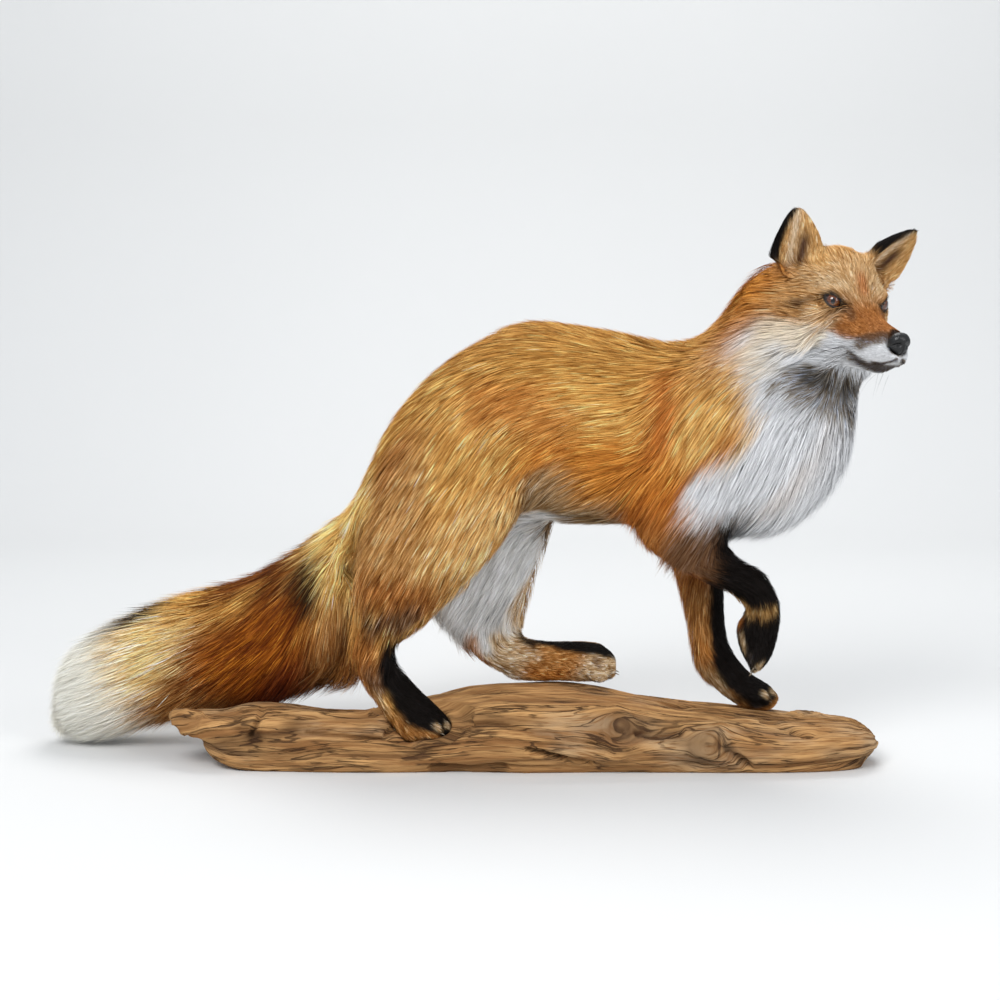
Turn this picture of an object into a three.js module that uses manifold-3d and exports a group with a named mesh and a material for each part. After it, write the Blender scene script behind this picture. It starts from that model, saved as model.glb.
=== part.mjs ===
// A mounted red fox on a driftwood base. Millimetres, +Z up, the fox faces +X.
// The origin lies on the flat underside of the driftwood. Every solid runs out to the tips of the coat.
import * as THREE from 'three';
import { mergeVertices } from 'three/addons/utils/BufferGeometryUtils.js';
import Module from 'manifold-3d';

const wasm = await Module();
wasm.setup();

// ---- Driving sizes ------------------------------------------------------------------------------
const GAP = 0.3; // clearance between touching pieces, and the width of the cuts that part the body
const CUT_REACH = 14; // how far a cut runs past the two points that place it
const CRUMB = 400; // a scrap smaller than this volume is dropped after the cuts
const BODY_SIDES = 16;
const LEG_SIDES = 10;
const EAR_SIDES = 12;
const LOG_SIDES = 14;
const CAP_REACH = 0.35; // how far a loft's rounded end stands out, as a share of its half-width there

const HEAD_AT = [337, -70, 493]; // the midpoint between the eyes
const HEAD_YAW = 65; // degrees, turned to the fox's right
const HEAD_PITCH = 6; // degrees, nose down
const HEAD_ROLL = 5; // degrees, left side down
const HEAD_TAPER = 0.18; // how much narrower the head is above than below
const EYE_RADIUS = 9.6;
const EYE_AT = [-6, 27.5, -1.5]; // forward, sideways, up from the midpoint between the eyes
const NOSE_AT = [77, 0, -28.5];
const NOSE_RADII = [9.5, 12, 11.5];

const LEFT_OF_BODY = [0, 1, 0];
const NEAR_Y = -44; // the lateral place of the right legs
const FAR_Y = 32; // and of the left ones

// ---- Head frame ---------------------------------------------------------------------------------
function headAxes() {
  const [yaw, pitch, roll] = [HEAD_YAW, HEAD_PITCH, HEAD_ROLL].map(THREE.MathUtils.degToRad);
  const forward = new THREE.Vector3(
    Math.cos(yaw) * Math.cos(pitch),
    -Math.sin(yaw) * Math.cos(pitch),
    -Math.sin(pitch),
  );
  const level = new THREE.Vector3(Math.sin(yaw), Math.cos(yaw), 0);
  const left = level.applyAxisAngle(forward, -roll);
  const up = forward.clone().cross(left);
  return { forward, left, up };
}

const HEAD = headAxes();

// A point given as forward, left and up from the midpoint between the eyes.
function onHead(forward, left, up) {
  return new THREE.Vector3(...HEAD_AT)
    .addScaledVector(HEAD.forward, forward)
    .addScaledVector(HEAD.left, left)
    .addScaledVector(HEAD.up, up);
}

// ---- Solids -------------------------------------------------------------------------------------
function solidOf(geometry) {
  const bare = geometry.index ? geometry.clone() : geometry;
  bare.deleteAttribute('normal');
  bare.deleteAttribute('uv');
  const welded = mergeVertices(bare, 1e-3);
  return new wasm.Manifold(new wasm.Mesh({
    numProp: 3,
    vertProperties: Float32Array.from(welded.attributes.position.array),
    triVerts: Uint32Array.from(welded.index.array),
  }));
}

function geometryOf(solid) {
  const mesh = solid.getMesh();
  const geometry = new THREE.BufferGeometry();
  geometry.setAttribute('position', new THREE.BufferAttribute(mesh.vertProperties, 3));
  geometry.setIndex(new THREE.BufferAttribute(mesh.triVerts, 1));
  return geometry;
}

function joined(solids) {
  return solids.reduce((all, next) => all.add(next));
}

// A rib is one cross-section: its top and bottom points, half its width, and the way its width runs.
function rib(top, bottom, width, side = LEFT_OF_BODY) {
  const at = (p) => (p.isVector3 ? p : new THREE.Vector3(...p));
  return { top: at(top), bottom: at(bottom), width, side: at(side) };
}

// A rib square across the body or a leg, from [x, z] of its top or front and of its bottom or back.
function flatRib(top, bottom, width, y) {
  return rib([top[0], y, top[1]], [bottom[0], y, bottom[1]], width);
}

function headRib(forward, top, bottom, width) {
  return rib(onHead(forward, 0, top), onHead(forward, 0, bottom), width, HEAD.left);
}

// A closed skin through ribs, smoothed between them, with a rounded cap at either end.
// grow moves its whole surface outwards. taper makes each rib narrower above than below, and shapeOf
// may reshape it by angle.
function loft(ribs, { sides = BODY_SIDES, steps = 2, grow = 0, taper = 0, shapeOf = () => 1 } = {}) {
  const tops = new THREE.CatmullRomCurve3(ribs.map((r) => r.top), false, 'centripetal');
  const bottoms = new THREE.CatmullRomCurve3(ribs.map((r) => r.bottom), false, 'centripetal');
  const widths = new THREE.SplineCurve(ribs.map((r, i) => new THREE.Vector2(i, r.width)));
  const last = (ribs.length - 1) * steps;
  const positions = [];
  const centres = [];
  for (let i = 0; i <= last; i += 1) {
    const t = i / last;
    const top = tops.getPoint(t);
    const bottom = bottoms.getPoint(t);
    const width = widths.getPoint(t).y + grow;
    const lower = ribs[Math.floor(i / steps)];
    const upper = ribs[Math.min(Math.floor(i / steps) + 1, ribs.length - 1)];
    const centre = top.clone().add(bottom).multiplyScalar(0.5);
    const up = top.clone().sub(bottom);
    const depth = up.length() / 2 + grow;
    up.normalize();
    const side = lower.side.clone().lerp(upper.side, (i % steps) / steps);
    side.addScaledVector(up, -side.dot(up)).normalize();
    centres.push(centre);
    for (let k = 0; k < sides; k += 1) {
      const angle = (k / sides) * 2 * Math.PI;
      const swell = shapeOf(angle, t);
      const narrowing = 1 - taper * Math.sin(angle);
      positions.push(centre.clone()
        .addScaledVector(side, Math.cos(angle) * width * swell * narrowing)
        .addScaledVector(up, Math.sin(angle) * depth * swell));
    }
  }
  const index = [];
  for (let i = 0; i < last; i += 1) {
    for (let k = 0; k < sides; k += 1) {
      const a = i * sides + k;
      const b = i * sides + (k + 1) % sides;
      index.push(a, b, a + sides, b, b + sides, a + sides);
    }
  }
  for (const [ring, inner, turn] of [[0, 1, false], [last, last - 1, true]]) {
    const out = centres[ring].clone().sub(centres[inner]).normalize();
    const reach = positions[ring * sides].distanceTo(centres[ring]) * CAP_REACH;
    const tip = positions.push(centres[ring].clone().addScaledVector(out, reach)) - 1;
    for (let k = 0; k < sides; k += 1) {
      const pair = [ring * sides + k, ring * sides + (k + 1) % sides];
      index.push(tip, ...(turn ? pair : pair.reverse()));
    }
  }
  const geometry = new THREE.BufferGeometry();
  const coordinates = positions.flatMap((p) => p.toArray());
  geometry.setAttribute('position', new THREE.Float32BufferAttribute(coordinates, 3));
  geometry.setIndex(index);
  const solid = solidOf(geometry);
  return solid.volume() < 0 ? solidOf(flipped(geometry)) : solid;
}

function flipped(geometry) {
  const index = Array.from(geometry.index.array);
  for (let i = 0; i < index.length; i += 3) {
    [index[i], index[i + 1]] = [index[i + 1], index[i]];
  }
  return new THREE.BufferGeometry().setAttribute('position', geometry.attributes.position).setIndex(index);
}

function ellipsoid(centre, radii, grow = 0) {
  const geometry = new THREE.SphereGeometry(1, 14, 9);
  const [forward, left, up] = [HEAD.forward, HEAD.left, HEAD.up].map(
    (axis, i) => axis.clone().multiplyScalar(radii[i] + grow),
  );
  geometry.applyMatrix4(new THREE.Matrix4().makeBasis(forward, left, up).setPosition(centre));
  return solidOf(geometry);
}

// A thin plate through a top and a bottom point, running a given way to either side.
function plate(top, bottom, halfWidth, side = LEFT_OF_BODY) {
  const line = rib(top, bottom, halfWidth, side);
  const up = line.top.clone().sub(line.bottom);
  const height = up.length() + 2 * CUT_REACH;
  up.normalize();
  const across = line.side.clone().addScaledVector(up, -line.side.dot(up)).normalize();
  const geometry = new THREE.BoxGeometry(2 * halfWidth, height, GAP);
  const middle = line.top.add(line.bottom).multiplyScalar(0.5);
  const basis = new THREE.Matrix4().makeBasis(across, up, across.clone().cross(up));
  geometry.applyMatrix4(basis.setPosition(middle));
  return solidOf(geometry);
}

const flatPlate = (top, bottom, halfWidth, y = 0) => plate(
  [top[0], y, top[1]],
  [bottom[0], y, bottom[1]],
  halfWidth,
);

// ---- The fox's body, one skin per limb, joined whole ---------------------------------------------
const TRUNK = [
  flatRib([-182, 286], [-184, 248], 34, 0),
  flatRib([-163, 322], [-152, 236], 58, 0),
  flatRib([-144, 362], [-104, 244], 72, 0),
  flatRib([-118, 396], [-62, 256], 78, 0),
  flatRib([-86, 427], [-28, 268], 78, 0),
  flatRib([-42, 454], [6, 262], 74, 0),
  flatRib([8, 472], [36, 252], 71, 0),
  flatRib([60, 466], [66, 250], 70, 0),
  flatRib([113, 457], [108, 250], 71, 0),
  flatRib([152, 447], [152, 250], 74, 0),
  flatRib([188, 448], [200, 242], 76, -2),
  flatRib([228, 450], [246, 238], 73, -6),
  flatRib([275, 440], [298, 262], 62, -14),
  flatRib([316, 420], [330, 308], 44, -22),
  flatRib([342, 402], [345, 350], 20, -28),
];

const NECK = [
  rib([150, 0, 440], [250, 0, 300], 62),
  rib([186, 0, 456], [296, -6, 306], 68),
  rib([210, 0, 488], [328, -20, 338], 69),
  rib([232, 0, 518], [344, -34, 378], 67, [0.5, 0.86, 0]),
  rib([256, -4, 540], [348, -50, 412], 63, [0.8, 0.6, 0]),
  rib([296, -16, 540], [348, -62, 440], 52, HEAD.left),
];

const SKULL = [
  headRib(-86, 26, -36, 40),
  headRib(-70, 44, -56, 55),
  headRib(-50, 53, -68, 61),
  headRib(-30, 51, -72, 57),
  headRib(-12, 38, -71, 47),
  headRib(4, 16, -69, 37),
  headRib(20, -2, -67, 30),
  headRib(38, -10, -66, 25),
  headRib(58, -14, -63, 20),
  headRib(73, -18, -58, 16),
  headRib(81, -27, -51, 10),
];

const TAIL = [
  flatRib([-150, 300], [-146, 232], 36, 4),
  flatRib([-182, 284], [-176, 190], 40, 10),
  flatRib([-206, 260], [-192, 128], 45, 18),
  flatRib([-238, 232], [-212, 84], 50, 26),
  flatRib([-293, 195], [-256, 54], 53, 36),
  flatRib([-347, 175], [-314, 42], 53, 42),
  flatRib([-391, 160], [-370, 34], 51, 46),
  flatRib([-432, 141], [-424, 20], 47, 48),
  flatRib([-468, 122], [-467, 6], 38, 50),
  flatRib([-495, 100], [-498, 15], 24, 50),
  flatRib([-507, 78], [-509, 40], 10, 50),
];

// The right foreleg is lifted, with the wrist bent.
const RIGHT_FORELEG = [
  flatRib([215, 330], [112, 304], 36, NEAR_Y + 6),
  flatRib([218, 268], [108, 262], 33, NEAR_Y + 2),
  flatRib([207, 243], [146, 224], 28, NEAR_Y),
  flatRib([219, 233], [176, 206], 23, NEAR_Y),
  flatRib([235, 222], [200, 193], 19, NEAR_Y),
  flatRib([254, 204], [218, 182], 18, NEAR_Y),
  flatRib([266, 180], [231, 170], 18, NEAR_Y),
  flatRib([268, 158], [221, 157], 18, NEAR_Y),
  flatRib([265, 138], [221, 138], 20, NEAR_Y),
  flatRib([259, 120], [227, 121], 19, NEAR_Y),
  flatRib([250, 107], [237, 108], 11, NEAR_Y),
];

const LEFT_FORELEG = [
  flatRib([238, 300], [140, 290], 34, FAR_Y + 4),
  flatRib([228, 236], [150, 238], 29, FAR_Y + 2),
  flatRib([218, 204], [162, 208], 23, FAR_Y - 2),
  flatRib([216, 168], [173, 168], 19, FAR_Y - 6),
  flatRib([219, 126], [182, 124], 17, FAR_Y - 10),
  flatRib([229, 104], [188, 96], 18, FAR_Y - 12),
  flatRib([247, 84], [207, 68], 21, FAR_Y - 14),
  flatRib([265, 74], [232, 51], 23, FAR_Y - 16),
  flatRib([275, 62], [258, 47], 16, FAR_Y - 17),
];

const RIGHT_HIND_LEG = [
  flatRib([-26, 336], [-160, 304], 36, NEAR_Y + 8),
  flatRib([6, 306], [-176, 268], 39, NEAR_Y + 4),
  flatRib([0, 274], [-180, 236], 38, NEAR_Y),
  flatRib([-33, 224], [-183, 206], 33, NEAR_Y - 2),
  flatRib([-82, 182], [-184, 178], 27, NEAR_Y - 2),
  flatRib([-108, 156], [-184, 156], 22, NEAR_Y - 1),
  flatRib([-132, 138], [-183, 138], 18, NEAR_Y),
  flatRib([-136, 118], [-180, 114], 16, NEAR_Y),
  flatRib([-119, 92], [-168, 83], 17, NEAR_Y),
  flatRib([-100, 73], [-150, 56], 19, NEAR_Y - 1),
  flatRib([-84, 57], [-130, 34], 23, NEAR_Y - 2),
  flatRib([-76, 44], [-93, 32], 15, NEAR_Y - 2),
];

// The left hind leg steps forward and lies flat from heel to toes.
const LEFT_HIND_LEG = [
  flatRib([8, 334], [-140, 304], 34, FAR_Y + 6),
  flatRib([40, 288], [-118, 246], 34, FAR_Y + 8),
  flatRib([38, 244], [-78, 202], 30, FAR_Y + 8),
  flatRib([20, 194], [-102, 160], 25, FAR_Y + 6),
  flatRib([2, 150], [-76, 131], 20, FAR_Y + 4),
  flatRib([-4, 126], [-52, 98], 18, FAR_Y + 2),
  flatRib([16, 120], [-14, 78], 18, FAR_Y),
  flatRib([46, 119], [36, 76], 19, FAR_Y),
  flatRib([80, 117], [76, 75], 21, FAR_Y),
  flatRib([97, 104], [94, 79], 14, FAR_Y),
];

const skull = (grow) => loft(SKULL, { grow, taper: HEAD_TAPER });

function wholeBody(grow) {
  return joined([
    loft(TRUNK, { grow }),
    loft(NECK, { grow }),
    skull(grow),
    loft(TAIL, { grow }),
    loft(RIGHT_FORELEG, { grow, sides: LEG_SIDES }),
    loft(LEFT_FORELEG, { grow, sides: LEG_SIDES }),
    loft(RIGHT_HIND_LEG, { grow, sides: LEG_SIDES }),
    loft(LEFT_HIND_LEG, { grow, sides: LEG_SIDES }),
  ]);
}

// ---- Ears, eyes and nose -------------------------------------------------------------------------
// An ear is a leaf-shaped cup. Its ribs run from the base to the tip, each with its back and front.
const EARS = {
  right: { base: [-48, -47, 20], tip: [-52, -57, 84], opens: [0.93, -0.36, 0] },
  left: { base: [-44, 44, 24], tip: [-40, 84, 72], opens: [0.93, 0.3, -0.12] },
};
const EAR_WIDTHS = [25, 29, 29, 26, 21, 15, 6.5]; // half-widths from the base to the tip
const EAR_DEPTHS = [15, 14.5, 12.5, 10.5, 8.5, 6, 3.5];
const EAR_WALL = 4.5;
const CUP = { first: 0.01, last: 0.98, forward: 0, behind: 0, thinner: 0 };
// The hollow starts a little above the cup's foot and stops short of its tip; it is set forward, to leave
// the wall behind it, and its own back reaches back by the rest.
const HOLLOW = { first: 0.03, last: 0.94, forward: EAR_WALL + 9, behind: 4, thinner: EAR_WALL - 0.45 };

function earRibs({ base, tip, opens }, { first, last, forward, behind, thinner }) {
  const foot = onHead(...base);
  const rise = onHead(...tip).sub(foot);
  const front = onHead(...opens).sub(onHead(0, 0, 0)).normalize();
  const across = rise.clone().cross(front).normalize();
  return EAR_WIDTHS.map((width, i) => {
    const height = THREE.MathUtils.lerp(first, last, i / (EAR_WIDTHS.length - 1));
    const depth = EAR_DEPTHS[i];
    const middle = foot.clone().addScaledVector(rise, height);
    const top = middle.clone().addScaledVector(front, forward + depth);
    const bottom = middle.clone().addScaledVector(front, forward - depth - behind);
    return rib(top, bottom, width - thinner, across);
  });
}

function ear(side) {
  const cup = loft(earRibs(EARS[side], CUP), { sides: EAR_SIDES, steps: 1 });
  const hollow = loft(earRibs(EARS[side], HOLLOW), { sides: EAR_SIDES, steps: 1 });
  return cup.subtract(hollow);
}

const eyeCentre = (side) => onHead(EYE_AT[0], side * EYE_AT[1], EYE_AT[2]);
const eyeball = (side, grow = 0) => ellipsoid(eyeCentre(side), [EYE_RADIUS, EYE_RADIUS, EYE_RADIUS], grow);
const nosePad = (grow = 0) => ellipsoid(onHead(...NOSE_AT), NOSE_RADII, grow);

// ---- The cuts that part the body, and a point inside each part -----------------------------------
const CUTS = [
  plate([238, 0, 528], [356, -54, 400], 100, HEAD.left), // head from neck
  plate([172, 0, 452], [362, -24, 344], 110), // neck from chest
  flatPlate([112, 470], [98, 242], 110), // chest from barrel
  flatPlate([0, 484], [66, 240], 110), // barrel from rump
  flatPlate([-190, 290], [-190, 118], 90, 30), // rump from tail
  flatPlate([-284, 208], [-262, 44], 80, 36), // tail lengths
  flatPlate([-402, 164], [-396, 24], 80, 46),
  flatPlate([-196, 224], [52, 238], 110), // rump from both thighs
  flatPlate([96, 256], [250, 230], 110), // chest from both forelegs
  flatPlate([-122, 128], [-190, 128], 34, NEAR_Y), // right hock
  flatPlate([-92, 78], [-156, 56], 36, NEAR_Y), // right hind paw
  flatPlate([12, 138], [-66, 118], 34, FAR_Y + 2), // left hock
  flatPlate([58, 122], [54, 76], 36, FAR_Y), // left hind paw
  flatPlate([270, 168], [228, 162], 34, NEAR_Y), // right forepaw
  flatPlate([234, 106], [184, 98], 34, FAR_Y - 12), // left forepaw
];

const COAT = { red: '#b8692c', pale: '#d8a56a', white: '#e8e2d6', dark: '#241b16', tail: '#8d5527' };
const PARTS = [
  ['head', [337, -40, 480], COAT.red],
  ['neck', [290, -10, 440], COAT.white],
  ['chest', [200, -5, 350], COAT.red],
  ['barrel', [75, 0, 350], COAT.red],
  ['rump', [-80, 0, 330], COAT.pale],
  ['tail_root', [-240, 28, 160], COAT.tail],
  ['tail_middle', [-340, 42, 110], COAT.tail],
  ['tail_tip', [-440, 50, 80], COAT.white],
  ['thigh_right', [-120, NEAR_Y, 200], COAT.pale],
  ['thigh_left', [-10, FAR_Y + 8, 190], COAT.white],
  ['hock_right', [-150, NEAR_Y, 105], COAT.dark],
  ['hock_left', [20, FAR_Y, 100], COAT.red],
  ['hind_paw_right', [-100, NEAR_Y, 48], COAT.dark],
  ['hind_paw_left', [78, FAR_Y, 95], COAT.dark],
  ['forearm_right', [225, NEAR_Y, 205], COAT.dark],
  ['forearm_left', [195, FAR_Y - 6, 170], COAT.dark],
  ['forepaw_right', [245, NEAR_Y, 140], COAT.dark],
  ['forepaw_left', [235, FAR_Y - 14, 75], COAT.dark],
];

const PROBE = 1; // the side of the small cube that finds a part by a point inside it

function partedBody() {
  const sockets = [eyeball(1, GAP), eyeball(-1, GAP), nosePad(GAP)];
  const cutters = CUTS.concat(sockets);
  const pieces = wholeBody(0).subtract(joined(cutters)).decompose().filter((p) => p.volume() > CRUMB);
  return PARTS.map(([name, seed, colour]) => {
    const probe = solidOf(new THREE.BoxGeometry(PROBE, PROBE, PROBE).translate(...seed));
    const found = pieces.filter((p) => p.intersect(probe).volume() > PROBE ** 3 / 2);
    if (found.length !== 1) {
      throw new Error(`${name}: ${found.length} of ${pieces.length} pieces hold its point`);
    }
    return [name, found[0], colour];
  });
}

// ---- The driftwood base --------------------------------------------------------------------------
// Ribs across the log, from the prong at its left end to the rounded right end: x, the middle of its
// width, half its width, its top and its lowest point.
const LOG = [
  [-379, -34, 7, 61, 46],
  [-366, -34, 14, 62, 36],
  [-344, -34, 27, 60, 18],
  [-322, -34, 36, 60, 2],
  [-300, -34, 42, 66, -4],
  [-240, -32, 46, 64, -8],
  [-175, -28, 52, 58, -10],
  [-120, -20, 62, 66, -10],
  [-60, -14, 70, 79, -10],
  [0, -14, 76, 81, -10],
  [50, -14, 74, 80, -10],
  [95, -14, 72, 72, -10],
  [150, -16, 70, 62, -10],
  [210, -18, 68, 56, -10],
  [270, -20, 64, 50, -10],
  [325, -22, 56, 46, -8],
  [355, -24, 45, 42, -2],
  [371, -26, 26, 32, 8],
];
const LOG_RIPPLES = [[3, 0.045, 0.6], [5, 0.035, 2.1], [8, 0.02, 4.4]]; // count, depth, phase
const LOG_SQUARENESS = 0.09;
const LOG_TWIST = 5; // radians that the ripples turn through, end to end
const LOG_CROWN = 0.9; // above this share of its height the log is left smooth, for the paws

function logRibs() {
  return LOG.map(([x, y, width, top, bottom]) => flatRib([x, top], [x, bottom], width, y));
}

function rippled(angle, t) {
  const squareness = 1 + LOG_SQUARENESS * Math.cos(4 * angle + Math.PI);
  const ripple = LOG_RIPPLES.reduce(
    (sum, [count, depth, phase]) => sum + depth * Math.sin(count * angle + phase + LOG_TWIST * t),
    0,
  );
  return squareness + (Math.sin(angle) > LOG_CROWN ? 0 : ripple);
}

// Hollows worn into the wood: where each one's middle is, and its three radii.
const HOLLOWS = [
  [[-112, -82, 76], [62, 58, 46]], // the ledge under the right hind paw
  [[-70, -96, -6], [48, 34, 18]], // worn away underneath, along the near edge
  [[44, -100, -6], [34, 30, 20]],
  [[262, -64, 66], [60, 40, 26]],
  [[-262, 34, 62], [90, 30, 40]], // the low side that the tail hangs past
];

const HOLLOW_FINENESS = [12, 8]; // segments around and down
const UNDERSIDE = [1200, 600, 100]; // a slab larger than the log, which cuts it flat underneath

function driftwood() {
  const log = loft(logRibs(), { sides: LOG_SIDES, shapeOf: rippled });
  const below = solidOf(new THREE.BoxGeometry(...UNDERSIDE).translate(0, 0, -UNDERSIDE[2] / 2));
  const hollows = HOLLOWS.map(([at, radii]) => solidOf(
    new THREE.SphereGeometry(1, ...HOLLOW_FINENESS).scale(...radii).translate(...at),
  ));
  return log.subtract(joined([below, ...hollows])).subtract(wholeBody(GAP));
}

// ---- Assembly ------------------------------------------------------------------------------------
const fox = new THREE.Group();

function addPiece(name, solid, colour, roughness = 0.9) {
  const pieces = solid.decompose().sort((a, b) => b.volume() - a.volume());
  const material = new THREE.MeshStandardMaterial({ color: colour, roughness, metalness: 0 });
  const mesh = new THREE.Mesh(geometryOf(pieces[0]), material);
  mesh.name = name;
  fox.add(mesh);
}

for (const [name, solid, colour] of partedBody()) {
  addPiece(name, solid, colour);
}
const headRoom = joined([skull(GAP), loft(NECK, { grow: GAP })]);
addPiece('ear_right', ear('right').subtract(headRoom), COAT.dark);
addPiece('ear_left', ear('left').subtract(headRoom), COAT.dark);
addPiece('eye_right', eyeball(-1), '#5a2c12', 0.08);
addPiece('eye_left', eyeball(1), '#5a2c12', 0.08);
addPiece('nose', nosePad(), '#0d0c0c', 0.35);
addPiece('log_base', driftwood(), '#8a6238', 0.85);

export default fox;
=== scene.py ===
"""A mounted red fox on driftwood: skin, coat, eyes, nose, claws, whiskers and base around its frame."""

import math

import bmesh
import bpy
import numpy as np
from bpy.props import FloatProperty, FloatVectorProperty, PointerProperty
from mathutils import Matrix, Vector, kdtree


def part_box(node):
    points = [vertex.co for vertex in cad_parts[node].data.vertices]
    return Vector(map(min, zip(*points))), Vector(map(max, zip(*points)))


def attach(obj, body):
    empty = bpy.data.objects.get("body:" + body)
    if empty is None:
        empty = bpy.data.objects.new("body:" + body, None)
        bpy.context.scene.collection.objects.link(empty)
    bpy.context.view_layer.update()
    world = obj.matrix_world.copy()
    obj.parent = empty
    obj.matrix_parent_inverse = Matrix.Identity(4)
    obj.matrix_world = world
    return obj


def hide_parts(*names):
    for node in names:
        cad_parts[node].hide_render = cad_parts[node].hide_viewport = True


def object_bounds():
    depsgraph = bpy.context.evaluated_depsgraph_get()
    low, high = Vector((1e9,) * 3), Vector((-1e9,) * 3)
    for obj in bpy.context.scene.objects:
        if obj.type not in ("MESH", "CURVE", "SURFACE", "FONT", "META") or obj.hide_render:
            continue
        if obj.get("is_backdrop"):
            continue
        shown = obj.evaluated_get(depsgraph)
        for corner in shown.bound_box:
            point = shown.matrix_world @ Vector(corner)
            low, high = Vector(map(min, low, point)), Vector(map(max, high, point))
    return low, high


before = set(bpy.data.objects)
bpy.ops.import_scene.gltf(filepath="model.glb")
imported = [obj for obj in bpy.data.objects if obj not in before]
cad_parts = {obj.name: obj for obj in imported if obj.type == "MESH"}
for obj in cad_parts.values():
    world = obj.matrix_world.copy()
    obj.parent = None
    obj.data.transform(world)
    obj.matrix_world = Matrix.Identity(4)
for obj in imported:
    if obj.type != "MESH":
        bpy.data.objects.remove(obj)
CAD_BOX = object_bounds()

bl_info = {
    "name": "Mounted Red Fox",
    "version": (1, 0, 0),
    "blender": (4, 5, 0),
    "location": "View3D > Sidebar > Fox",
    "description": "Builds a mounted red fox with a solid-mesh coat on a driftwood base",
    "category": "Object",
}

MM = 0.001
SAME_PLACE = 0.01 * MM  # vertices nearer than this are one
BODY = "root"
SEED = 20
ONE, BOTH = False, True  # whether a line is on one side only, or on its mirror's side too
FLESH = (
    "head", "neck", "chest", "barrel", "rump",
    "tail_root", "tail_middle", "tail_tip",
    "thigh_right", "thigh_left", "hock_right", "hock_left", "hind_paw_right", "hind_paw_left",
    "forearm_right", "forearm_left", "forepaw_right", "forepaw_left",
)


# ---- Places, all worked out from the frame ----------------------------------------------------------


def box_of(node):
    return (np.array(corner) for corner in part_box(node))


def spot(node, x, y, z):
    """A point in a node's box, by its share of each side."""
    low, high = box_of(node)
    return low + (high - low) * np.array((x, y, z))


def unit(vectors):
    vectors = np.asarray(vectors, float)
    return vectors / np.maximum(np.linalg.norm(vectors, axis=-1, keepdims=True), 1e-12)


class HeadFrame:
    """Forward, left and up axes at the midpoint between the eyes, in millimetres along each."""

    EYE_SET = np.array((-6.0, 0.0, -1.5))  # the eyes' centres, back from and below that midpoint
    NOSE_DROP = math.atan2(27.0, 83.0)  # the nose lies below the line that the head faces along
    MIDDLE = (0.5, 0.5, 0.5)

    def __init__(self):
        left_eye, right_eye, nose = (spot(n, *self.MIDDLE) for n in ("eye_left", "eye_right", "nose"))
        self.left = unit(left_eye - right_eye)
        reach = nose - (left_eye + right_eye) / 2
        reach = unit(reach - self.left * (reach @ self.left))
        rise = np.cross(reach, self.left)
        self.forward = reach * math.cos(self.NOSE_DROP) + rise * math.sin(self.NOSE_DROP)
        self.up = np.cross(self.forward, self.left)
        self.axes = np.array((self.forward, self.left, self.up))
        self.origin = (left_eye + right_eye) / 2 - self.EYE_SET * MM @ self.axes

    def place(self, points):
        """World points from head millimetres."""
        return self.origin + np.asarray(points, float) * MM @ self.axes

    def local(self, points):
        """Head millimetres from world points."""
        return (np.asarray(points) - self.origin) @ self.axes.T / MM

    def turn(self, directions):
        return unit(np.asarray(directions, float) @ self.axes)


HEAD = HeadFrame()


# ---- Numbers that repeat: noise, steps and masks ----------------------------------------------------


SCATTER = np.array((127.1, 311.7, 74.7))  # unrelated numbers, so that neighbouring cells come out unlike
SCATTER_SEED, SCATTER_GAIN = 19.19, 43758.5453
SEED_SHIFT = 3.7  # how far each seed moves the noise
OCTAVES_REACH = 1.6  # what brings the layers' sum back to between -1 and 1


def lattice(cells, seed):
    """A fixed random number from 0 to 1 for each whole-numbered cell."""
    mixed = np.sin(cells @ SCATTER + seed * SCATTER_SEED) * SCATTER_GAIN
    return mixed - np.floor(mixed)


def noise(points, scale, seed=0):
    """Smooth noise from -1 to 1. scale is in cycles per metre, one number or one for each axis."""
    grid = np.asarray(points, float) * scale + seed * SEED_SHIFT
    cell = np.floor(grid)
    part = grid - cell
    part = part * part * (3 - 2 * part)
    total = np.zeros(len(grid))
    for corner in np.ndindex(2, 2, 2):
        corner = np.array(corner, float)
        weight = np.prod(np.where(corner > 0, part, 1 - part), axis=1)
        total += weight * lattice(cell + corner, seed)
    return total * 2 - 1


def layered(points, scale, seed=0, octaves=3):
    """Noise with finer and fainter noise laid over it."""
    layers = (noise(points, np.asarray(scale) * 2**i, seed + i) * 0.5**i for i in range(octaves))
    return sum(layers) / OCTAVES_REACH


def step(values, low, high):
    """0 below low, 1 above high and smooth between."""
    t = np.clip((values - low) / (high - low), 0, 1)
    return t * t * (3 - 2 * t)


def along(points, path):
    """For each point: its distance to a broken line, and how far along it the nearest place is, 0 to 1."""
    path = np.asarray(path, float)
    best = np.full(len(points), np.inf)
    share = np.zeros(len(points))
    for i, (a, b) in enumerate(zip(path[:-1], path[1:])):
        t = np.clip(((points - a) @ (b - a)) / max((b - a) @ (b - a), 1e-12), 0, 1)
        gap = np.linalg.norm(points - (a + t[:, None] * (b - a)), axis=1)
        nearer = gap < best
        best[nearer] = gap[nearer]
        share[nearer] = (i + t[nearer]) / (len(path) - 1)
    return best, share


def nearness(gap):
    """How much a line weighs at a distance: the nearest lines outweigh the rest, but softly."""
    return 1 / (gap * gap + REACH * REACH) ** 3


def blend(under, over, mask):
    return under + (np.asarray(over) - under) * mask[:, None]


# ---- The lie of the coat ----------------------------------------------------------------------------
# Each stroke is a line that the hair follows: its points, then the hair's length, the coat's depth and
# a hair's width along it, in millimetres. Points are shares of the box of the node named before them, or
# head millimetres where no node is named.

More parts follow.
